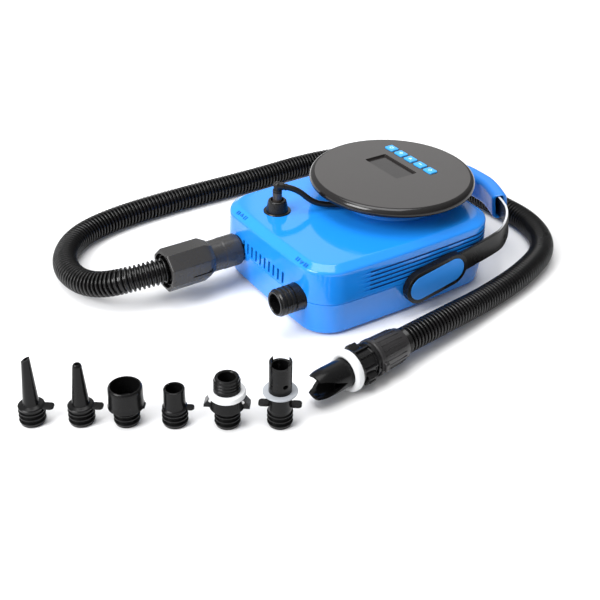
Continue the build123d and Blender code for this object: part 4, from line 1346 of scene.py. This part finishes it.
@dataclass
class EndFitting:
    """The ribbed collar, bayonet body, white washer and split mouth at the hose's end."""

    route: tuple[Triple, ...] = Hose.route
    ribs: int = 20
    collar_r: float = 17.0

    def place(self, along: float = 0.0, turn: float = 0.0) -> Matrix:
        """A place on the fitting's axis, X up at turn 0.

        Args:
            along: distance from the hose's end.
            turn: angle about the axis, in radians.

        Returns:
            The place.
        """
        end, before = Vector(self.route[-1]), Vector(self.route[-2])
        axis = (end - before).normalized()
        return facing(end + axis * along, axis) @ Matrix.Rotation(turn, 4, "Z")

    def collar(self) -> bpy.types.Object:
        """The grip collar: a waisted knob with raised ribs, a flange and two ears.

        Returns:
            The collar's piece.
        """
        r = self.collar_r
        knob = Shape()
        outline = [(10.2, 0), (14.2, 0), (15.2, 0.9), (15.6, 3), (15.9, 6), (16.6, 16), (r - 0.1, 27),
                   (r - 0.1, 32.6), (r + 0.9, 33.2), (r + 0.9, 36.6), (r + 0.2, 37.6), (r - 1.6, 38),
                   (14.6, 38), (14.2, 36), (14.2, 24), (10.2, 22)]
        knob.lathe(outline, self.place(), 72)
        for index in range(self.ribs):
            rib = self.place(19, math.tau * (index + 0.5) / self.ribs) @ Matrix.Translation((16.25, 0, 0))
            knob.block((1.7, 1.5, 26), rib @ Matrix.Rotation(math.radians(1.6), 4, "Y"), 0.45)
        for turn in (math.pi / 2, -math.pi / 2):
            ear = self.place(33.1, turn)
            knob.slab((7, 9, 4.2), 2.2, ear @ Matrix.Translation((17.4, 0, 0)), 0.8)
        return knob.finish("end_collar_knob", "collar", [Look.KNOB], ["end_collar"], "fitting_black")

    def bayonet(self) -> bpy.types.Object:
        """The bayonet body with its flanges, lugs and windows.

        Returns:
            The body's piece.
        """
        body = Shape()
        outline = [(9.6, 38.2), (16.3, 38.2), (16.3, 41.4), (14.0, 41.8), (13.6, 42.6), (13.6, 57),
                   (14.2, 58.4), (17.2, 59.0), (17.4, 61.0), (16.8, 61.95), (9.6, 61.95)]
        body.lathe(outline, self.place(), 64)
        for turn in (60, 240):
            lug = self.place(50, math.radians(turn)) @ Matrix.Translation((15.0, 0, 0))
            body.block((8.0, 12.4, 11.4), lug, 1.5)
            body.block((2.4, 4.2, 6), lug @ Matrix.Translation((4.0, 0, 0)), 0.5)
        for turn in (0, 105, 150, 285, 330):
            body.block((3.4, 1.5, 15.5), self.place(50, math.radians(turn)) @ Matrix.Translation((14.6, 0,
                0)), 0.4)
        return body.finish("bayonet_lugs", "nozzle", [Look.PORT], ["bayonet_body"], "fitting_black")

    def gasket(self) -> bpy.types.Object:
        """The thick white washer.

        Returns:
            The washer's piece.
        """
        ring = [(13.6, 62.3), (18.2, 62.1), (19.2, 62.7), (19.7, 63.8), (19.75, 66.6), (19.2, 68.6),
                (17.9, 69.7), (16.0, 69.95), (14.4, 69.4), (13.6, 68.4)]
        washer = Shape().lathe(ring, self.place(), 80)
        return washer.finish("end_washer", "nozzle", [Look.WHITE], ["tip_gasket"], "gasket_white")

    def mouth(self) -> bpy.types.Object:
        """The split mouth: two jaws with hooked ends either side of a wedge opening.

        Returns:
            The mouth's piece.
        """
        tip = Shape()
        tube = [(10.6, 61), (13.5, 61), (13.5, 92), (13.2, 97), (12.4, 101.5), (11.6, 104.4), (10.4, 104.9),
                (9.6, 104.2), (9.8, 100), (10.6, 94)]
        tip.lathe(tube, self.place(), 64)
        cutter = Shape()
        wedge = [(0, 77), (8.6, 98), (9.5, 110), (-9.5, 110), (-8.6, 98)]
        cutter.prism(wedge, 20, self.place(), True)
        tip.carve(cutter)
        for side in (-1, 1):
            hook = self.place(101.4) @ Matrix.Translation((side * 10.3, 0, 0))
            tip.block((3.0, 5.4, 5.6), hook @ Matrix.Rotation(side * math.radians(-12), 4, "Y"), 0.9)
        tip.lathe([(0, 80), (4.2, 80), (4.2, 84), (2.4, 90), (0, 91)], self.place(), 24)
        tip.block((1.6, 20.6, 5), self.place(78), 0.3)
        tip.block((20.6, 1.6, 5), self.place(78), 0.3)
        return tip.finish("valve_mouth", "nozzle", [Look.FITTING], ["valve_tip"], "fitting_black")

    def build(self) -> list[bpy.types.Object]:
        """Build the fitting and return its pieces."""
        return [self.collar(), self.bayonet(), self.gasket(), self.mouth()]


# ---------------------------------------------------------------- handle
@dataclass
class Handle:
    """The carrying strap with its end plates, blue pills, pins and the hollow grip."""

    tilt: float = 9.5
    strap: Pair = (2.8, 24.0)
    half: float = 21.0
    plate_r: float = 17.5
    pill_r: float = 13.0
    pill_gap: float = 0.35
    stations: int = 90
    near_corner: float = 0.18
    pivot: Triple = (23.5, 98.4, 36.0)
    corners: tuple[Pair, ...] = ((28, -98.4), (92, -98.4), (126, -72), (145, 0), (126, 72), (92, 98.4),
                                 (28, 98.4))
    grip: tuple[Pair, ...] = ((131.6, -51), (143.2, -26), (144.6, 0), (143.2, 26), (131.6, 51))

    def frame(self) -> Matrix:
        """Place at the pivot, X along the strap and Z square to its plane."""
        return Matrix.Translation((self.pivot[0], 0,
                                   self.pivot[2])) @ Matrix.Rotation(-math.radians(self.tilt), 4, "Y")

    def side(self, y: float, side: int) -> Matrix:
        """Place at the pivot at distance y from the middle, Z outwards and X along the strap."""
        along = self.frame().col[0].to_3d()
        return facing((self.pivot[0], side * y, self.pivot[2]), (0, side, 0), along)

    def run(self, corners: Sequence[Pair], outline: Sequence[Pair], steps: int) -> list[list[Vector]]:
        """Rings of an outline (inwards, up) along a path in the strap's plane.

        Args:
            corners: the path's control points, from the pivot.
            outline: the ring's points.
            steps: points read for each span of the path.

        Returns:
            The rings, evenly spaced along the path.
        """
        line = smooth_line([(x, y, 0) for x, y in corners], steps)
        count = self.stations
        places = even_places(line, lambda length: [length * i / count for i in range(count + 1)],
                             Vector((0, 0, 1)))
        frame = self.frame()
        return [[frame @ (place @ Vector((up, inward, 0))) for inward, up in outline] for place in places]

    def oval(self, radius: float, thick: float, place: Matrix, edge: float = 0.0,
             segments: int = 3) -> Shape:
        """A plate with round ends about the pivot's slot, its low face at the place.

        Args:
            radius: of its round ends.
            thick: its thickness.
            place: where it goes.
            edge: bevel on its rim.
            segments: edges in that bevel.

        Returns:
            A new shape.
        """
        size = (2 * (self.half + radius), 2 * radius, thick)
        return Shape().slab(size, radius - 0.02, place, edge, segments)

    def band(self) -> None:
        """The strap, its end plates with rolled rims, and a strip on its top edge with a painted highlight.
        """
        thick, high = self.strap
        path = self.rounded_corners()
        strap = Shape().skin(self.run(path, round_rect(thick, high, 0.9, 3), 24))
        for side in (-1, 1):
            plate = self.oval(self.plate_r, 7.6, self.side(96.2, side), 2.6, 5)
            recess = self.oval(self.pill_r + self.pill_gap, 9, self.side(99.8, side))
            recess.rod(5.1, -1, 8, self.side(96, side), 32)
            plate.carve(recess)
            strap.take(plate.bm)
        strap.finish("carry_strap_band", "handle", [Look.STRAP], ["carry_strap"], "strap_black")
        # A thin strip on the strap's top edge carries the painted highlight, pale towards the grip.
        edge = [(u, v + high / 2 + 0.1) for u, v in round_rect(thick - 0.5, 0.5, 0.2, 2)]
        highlight_strip = Shape().skin(self.run(path, edge, 24))
        highlight_strip.finish("strap_edge_trim", "handle", [Look.EDGE], slot="strap_black")

    def rounded_corners(self) -> list[Pair]:
        """The strap's corners, each as two points near it, so the smooth line stays close to the arcs.

        Returns:
            The control points.
        """
        points = [self.corners[0]]
        for before, here, after in zip(self.corners, self.corners[1:], self.corners[2:]):
            back = Vector(before).lerp(Vector(here), 1 - self.near_corner)
            ahead = Vector(here).lerp(Vector(after), self.near_corner)
            points += [tuple(back), tuple(ahead)]
        return points + [self.corners[-1]]

    def pills(self) -> None:
        """The two blue pills and the pins under them."""
        for side, name in ((-1, "right"), (1, "left")):
            pill = self.oval(self.pill_r, 2.7, self.side(101.4, side), 0.9, 4)
            for stud in (-self.half, self.half):
                pill.rod(3, 0, 2, self.side(99.9, side) @ Matrix.Translation((stud, 0, 0)), 24)
            pill.finish(f"pill_{name}", "handle", [Look.PILL], [f"pill_cap_{name}"], "pill_blue")

    def sleeve(self) -> None:
        """The hollow blue grip, open at both ends round the strap."""
        outer = self.run(self.grip, round_rect(16.8, 29.6, 5.6, 6), 24)
        inner = self.run(self.grip, round_rect(8.6, 25.4, 3.0, 6), 24)
        lip = [self.run(self.grip, round_rect(w, h, c, 6), 24) for w, h,
               c in ((15.6, 28.4, 5.2), (9.8, 26.6, 3.6))]
        near_end, far_end = [inner[1], lip[1][0], lip[0][0]], [lip[0][-1], lip[1][-1], inner[-2]]
        sleeve = Shape().skin([*near_end, *outer[1:-1], *far_end, *reversed(inner[1:-2])], False)
        sleeve.finish("grip_shell", "handle", [Look.GRIP], ["grip_sleeve"], "grip_blue")

    def build(self) -> None:
        """Build the strap, pills and grip."""
        self.band()
        self.pills()
        self.sleeve()


# ---------------------------------------------------------------- loose adapters
@dataclass
class Adapters:
    """Six valve adapters that stand in a row, each with the same ringed foot."""

    row_turn: float = 38.0
    foot_r: float = 11.1
    bore: float = 8.4
    foot_h: float = 16.0
    foot_rings: int = 3
    tab_start: float = 8.5

    def place(self, node: str) -> Matrix:
        """Place on an adapter's axis at the floor, X along the row."""
        centre = foot_centre(node)
        return Matrix.Translation(centre) @ Matrix.Rotation(-math.radians(self.row_turn), 4, "Z")

    def foot(self) -> list[Pair]:
        """Outline of the ringed foot from the floor up.

        Returns:
            Points of (radius, height).
        """
        r = self.foot_r
        points = [(self.bore, 0.2), (self.bore + 0.4, 0), (r - 1.7, 0), (r - 1.2, 0.5)]
        for ring in range(self.foot_rings):
            low = 1.6 + ring * 4.6
            points += [(r - 1.1, low), (r - 0.2, low + 1.5), (r, low + 2.1), (r - 0.1, low + 2.5),
                       (r - 1.2, low + 2.8)]
        return points + [(r - 1.2, self.foot_h - 0.6)]

    def tab(self, shape: Shape, place: Matrix, z: float, reach: float, width: float, side: int = 1) -> None:
        """Add a thin finger tab that stands out along the row.

        Args:
            shape: the adapter's shape.
            place: the adapter's place.
            z: the tab's low face.
            reach: its outer end.
            width: across it.
            side: 1 or -1, the way it points.
        """
        spot = place @ Matrix.Translation((side * (self.tab_start + reach) / 2, 0, z))
        shape.slab((reach - self.tab_start, width, 1.7), 3.0, spot, 0.6)

    def cone_long(self) -> None:
        """The tall cone, cut at a slant."""
        place, r = self.place("cone_adapter_long"), self.foot_r
        shape = Shape().lathe(self.foot() + [
            (r - 0.3, self.foot_h), (r - 0.1, 17.4), (r - 0.9, 18.2), (9.3, 18.5), (6.9, 19.4), (6.6, 21),
            (3.4, 64.9), (2.1, 64.9), (5.0, 22), (7.4, 15)], place)
        cut = [(-6, 59.6), (6, 66.4), (6, 72), (-6, 72)]
        shape.carve(Shape().prism(cut, 8, place, True))
        self.tab(shape, place, 15.9, 18.9, 8.6)
        shape.finish("adapter_cone_long_body", "adapter_cone_long", [Look.FITTING], ["cone_adapter_long"],
                     "fitting_black")

    def cone_round(self) -> None:
        """The shorter cone with a round nose."""
        place, r = self.place("cone_adapter_round"), self.foot_r
        shape = Shape().lathe(self.foot() + [
            (r - 0.3, self.foot_h), (r - 0.1, 17.4), (r - 0.9, 18.2), (9.0, 18.5), (7.4, 19.2),
            (7.2, 20.5), (4.0, 55.6), (3.7, 57.2), (3.0, 58.4), (2.2, 58.9), (1.7, 58.6), (1.6, 57),
            (5.4, 22), (7.4, 15)], place)
        self.tab(shape, place, 15.9, 18.9, 8.6)
        shape.finish("adapter_cone_round_body", "adapter_cone_round", [Look.FITTING],
                     ["cone_adapter_round"], "fitting_black")

    def cup(self) -> None:
        """The wide cup with rolled lip and a small lug at its foot."""
        place, r = self.place("cup_adapter"), self.foot_r
        shape = Shape().lathe(self.foot() + [
            (r - 1.0, 16.6), (14.2, 16.9), (15.3, 17.4), (15.35, 18.3), (15.0, 19.2), (14.6, 22),
            (14.5, 33), (14.4, 35.4), (13.9, 36.7), (13.0, 37.4), (12.3, 37.2), (11.9, 36.2), (11.8, 20),
            (8.4, 17)], place)
        shape.slab((2.2, 7, 1.6), 0.9, place @ Matrix.Translation((14.9, 0, 17)), 0.4)
        shape.finish("adapter_cup_body", "adapter_cup", [Look.FITTING], ["cup_adapter"], "fitting_black")

    def tube(self) -> None:
        """The short straight tube."""
        place, r = self.place("tube_adapter"), self.foot_r
        shape = Shape().lathe(self.foot() + [
            (r - 0.5, 16.2), (r - 0.6, 17.2), (9.5, 18), (9.2, 19.2), (9.0, 34.8), (8.7, 35.6),
            (8.1, 35.95), (7.2, 35.8), (6.8, 35.2), (6.8, 15)], place)
        self.tab(shape, place, 15.9, 16.5, 7.0)
        shape.finish("adapter_tube_body", "adapter_tube", [Look.FITTING], ["tube_adapter"], "fitting_black")

    def screw(self) -> None:
        """The screw adapter: threaded head, white band, winged skirt with two pale dots."""
        place, r = self.place("screw_adapter"), self.foot_r
        thread: list[Pair] = []
        for turn in range(3):
            z = 38.0 + turn * 2.9
            thread += [(10.4, z), (11.4, z + 0.7), (11.4, z + 1.3), (10.4, z + 2.1)]
        shape = Shape().lathe(self.foot() + [
            (r - 0.8, 17), (r - 0.6, 19.0), (15.0, 19.5), (15.2, 20.4), (13.2, 29.4), (13.0, 30.0),
                                             (11.2, 30.2), (11.2, 36.2)] + thread
            + [(10.6, 46.8), (10.2, 48.2), (9.2, 48.95), (7.8, 48.8), (7.2, 48), (7.2, 15)], place)
        for side in (-1, 1):
            wing = [(side * 9, 19.6), (side * 19.4, 19.6), (side * 19.2, 22.4), (side * 13.6, 29.6),
                    (side * 9, 29.6)]
            shape.prism(wing, 4.6, place, True)
            for x in (4.4, 11.2):
                shape.block((1.5, 2.4, 8.6), place @ Matrix.Translation((side * x * 0.9, -12.6 + x * 0.32,
                    24.6)), 0.3)
        shape.slot = 1
        for side in (-1, 1):
            dot = place @ facing((side * 13.3, -4.7, 26.4), (0, -1, 0))
            shape.lathe([(0, -0.2), (1.7, -0.2), (1.7, 0.2), (1.3, 0.45), (0, 0.5)], dot, 24)
        shape.finish("adapter_screw_body", "adapter_screw", [Look.FITTING, Look.DOT], ["screw_adapter"],
                     "fitting_black")
        band = [(11.5, 30.4), (15.2, 30.3), (15.7, 30.9), (15.8, 32), (15.7, 34.2), (15.1, 35.3),
                (14.2, 35.75), (11.5, 35.7)]
        Shape().lathe(band, place, 64).finish("adapter_screw_band", "adapter_screw", [Look.WHITE],
                                              ["screw_adapter_gasket"], "gasket_white")

    def slotted(self) -> None:
        """The tall slotted tube with its ring, wings and side hole."""
        place, r = self.place("slot_adapter"), self.foot_r
        shape = Shape().lathe(self.foot() + [
            (r - 1.1, 17.4), (10.1, 18), (9.8, 23), (9.8, 63.4), (9.5, 64.4), (9.0, 64.95), (8.0, 64.95),
            (7.5, 64.3), (7.4, 62), (7.4, 15)], place)
        cutter = Shape()
        cutter.block((13.4, 30, 16), place @ Matrix.Translation((0, 0, 68.4)))
        cutter.rod(2.0, 0, 14, place @ facing((5.0, -14, 44), (0, 1, 0)), 28)
        shape.carve(cutter)
        for side in (-1, 1):
            self.tab(shape, place, 20.1, 18.4, 9.0, side)
        shape.finish("adapter_slot_body", "adapter_slot", [Look.FITTING], ["slot_adapter"], "fitting_black")
        ring = [(9.9, 33.1), (14.2, 33.05), (14.8, 33.4), (14.95, 34), (14.8, 34.6), (14.2, 34.95),
                (9.9, 34.9)]
        Shape().lathe(ring, place, 64).finish("adapter_slot_ring", "adapter_slot", [Look.GREY],
                                              ["slot_adapter_ring"], "gasket_grey")

    def build(self) -> None:
        """Build all six adapters."""
        for make in (self.cone_long, self.cone_round, self.cup, self.tube, self.screw, self.slotted):
            make()


# ---------------------------------------------------------------- CAD nodes that stay
class Inside:
    """CAD nodes that keep their own shape and get a better finish."""

    LOOKS: dict[str, Look] = {
        "foot_pads": Look.FOOT, "housing_screws": Look.SCREW, "panel_screws": Look.SCREW,
        "display_window": Look.GLASS,
        "display_module": Look.DARK, "panel_board": Look.BOARD, "tact_switches": Look.PIN,
        "pivot_pin_right": Look.PIN,
        "pivot_pin_left": Look.PIN, "fan_volute": Look.CASING, "blower_motor": Look.MOTOR,
        "fan_impeller": Look.FAN,
        "outlet_duct": Look.CASING, "outlet_manifold": Look.CASING, "crank_gear": Look.ACETAL,
        "gear_axle": Look.SCREW,
        "drive_pinion": Look.BRASS, "compressor_motor": Look.MOTOR, "piston_rod": Look.ACETAL,
        "cylinder": Look.CAST,
        "compressor_frame": Look.CAST, "cylinder_head": Look.CAST, "pressure_tube": Look.TUBE,
        "main_board": Look.BOARD,
    }

    def dress(self, nodes: dict[str, bpy.types.Object]) -> None:
        """Give each node its finish.

        Args:
            nodes: the frame's CAD objects by name.
        """
        for name, look in self.LOOKS.items():
            node = nodes[name]
            node.data.materials.clear()
            node.data.materials.append(look.value.material())
            log.info("%s: CAD shape, %s finish", name, look.name.lower())


# ---------------------------------------------------------------- studio
@dataclass
class Studio:
    """Camera, floor and soft light."""

    azimuth: float = -37.81
    elevation: float = 28.9
    roll: float = -2.97
    distance: float = 1.09017
    lens: float = 62.9
    shift: Pair = (-0.0957, -0.1176)
    aim: Triple = (0, 0, 0.05)
    bright_side: Triple = (-0.62, 0.25, 0.74)
    room: Pair = (0.16, 0.75)
    room_span: Pair = (-0.6, 0.9)
    sensor: float = 36.0
    clip: Pair = (0.01, 60.0)
    floor_half: float = 15.0

    def camera(self) -> None:
        """The camera, turned about its line of sight by roll."""
        az, el, roll = (math.radians(a) for a in (self.azimuth, self.elevation, self.roll))
        back = Vector((math.sin(az) * math.cos(el), -math.cos(az) * math.cos(el), math.sin(el)))
        right = (-back).cross(Vector((0, 0, 1))).normalized()
        up = right.cross(-back)
        side = right * math.cos(roll) - up * math.sin(roll)
        head = right * math.sin(roll) + up * math.cos(roll)
        place = Matrix((side, head, back)).transposed().to_4x4()
        place.translation = Vector(self.aim) + back * self.distance
        data = bpy.data.cameras.new("camera")
        data.lens, data.sensor_width = self.lens, self.sensor
        data.shift_x, data.shift_y = self.shift
        data.clip_start, data.clip_end = self.clip
        item = bpy.data.objects.new("camera", data)
        item.matrix_world = place
        bpy.context.scene.collection.objects.link(item)
        bpy.context.scene.camera = item

    def floor(self) -> None:
        """A plain pale floor."""
        bm = bmesh.new()
        bmesh.ops.create_grid(bm, x_segments=1, y_segments=1, size=self.floor_half)
        mesh = bpy.data.meshes.new("floor")
        bm.to_mesh(mesh)
        bm.free()
        item = bpy.data.objects.new("floor", mesh)
        bpy.context.scene.collection.objects.link(item)
        graph = Graph("floor_pale")
        graph.set(Roughness=0.9)
        graph.shader.inputs["Base Color"].default_value = (0.88, 0.88, 0.885, 1)
        graph.shader.inputs["Specular IOR Level"].default_value = 0.1
        mesh.materials.append(graph.material)

    def lamp(self, name: str, place: Triple, size: Pair, power: float) -> None:
        """A soft panel of light that faces the pump.

        Args:
            name: the lamp's name.
            place: where it hangs.
            size: its width and height.
            power: in watts.
        """
        data = bpy.data.lights.new(name, "AREA")
        data.shape, data.size, data.size_y = "RECTANGLE", size[0], size[1]
        data.energy = power
        item = bpy.data.objects.new(name, data)
        item.matrix_world = facing(place, Vector(place) - Vector(self.aim))
        bpy.context.scene.collection.objects.link(item)

    def light(self) -> None:
        """A bright room, lighter on the left and overhead, with soft panels of light."""
        world = bpy.data.worlds.new("studio")
        world.use_nodes = True
        nodes, links = world.node_tree.nodes, world.node_tree.links
        coords = nodes.new("ShaderNodeTexCoord")
        lean = nodes.new("ShaderNodeVectorMath")
        lean.operation = "DOT_PRODUCT"
        lean.inputs[1].default_value = self.bright_side
        ramp = nodes.new("ShaderNodeMapRange")
        ramp.inputs["From Min"].default_value, ramp.inputs["From Max"].default_value = self.room_span
        ramp.inputs["To Min"].default_value, ramp.inputs["To Max"].default_value = self.room
        links.new(coords.outputs["Generated"], lean.inputs[0])
        links.new(lean.outputs["Value"], ramp.inputs["Value"])
        links.new(ramp.outputs["Result"], nodes["Background"].inputs["Strength"])
        nodes["Background"].inputs["Color"].default_value = (1, 1, 1, 1)
        bpy.context.scene.world = world
        bpy.context.scene.view_settings.view_transform = "Standard"
        self.lamp("key", (-1.7, -0.1, 1.3), (1.0, 1.0), 40)
        self.lamp("top", (-0.2, 0.2, 2.2), (1.6, 1.6), 36)
        self.lamp("back", (1.2, 1.5, 1.5), (1.6, 0.8), 2.5)

    def build(self) -> None:
        """Build the camera, floor and lights."""
        self.camera()
        self.floor()
        self.light()


def main() -> None:
    """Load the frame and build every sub-assembly."""
    logging.basicConfig(level=logging.INFO, format="%(message)s")
    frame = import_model()
    Studio().build()
    fitting = EndFitting().build()
    Hose().build(fitting)
    SocketAndLead().build()
    Coupling().build()
    Housing().build()
    Ports().build()
    ControlDisc().build()
    Handle().build()
    Adapters().build()
    Inside().dress(frame["nodes"])


if __name__ == "__main__":
    main()
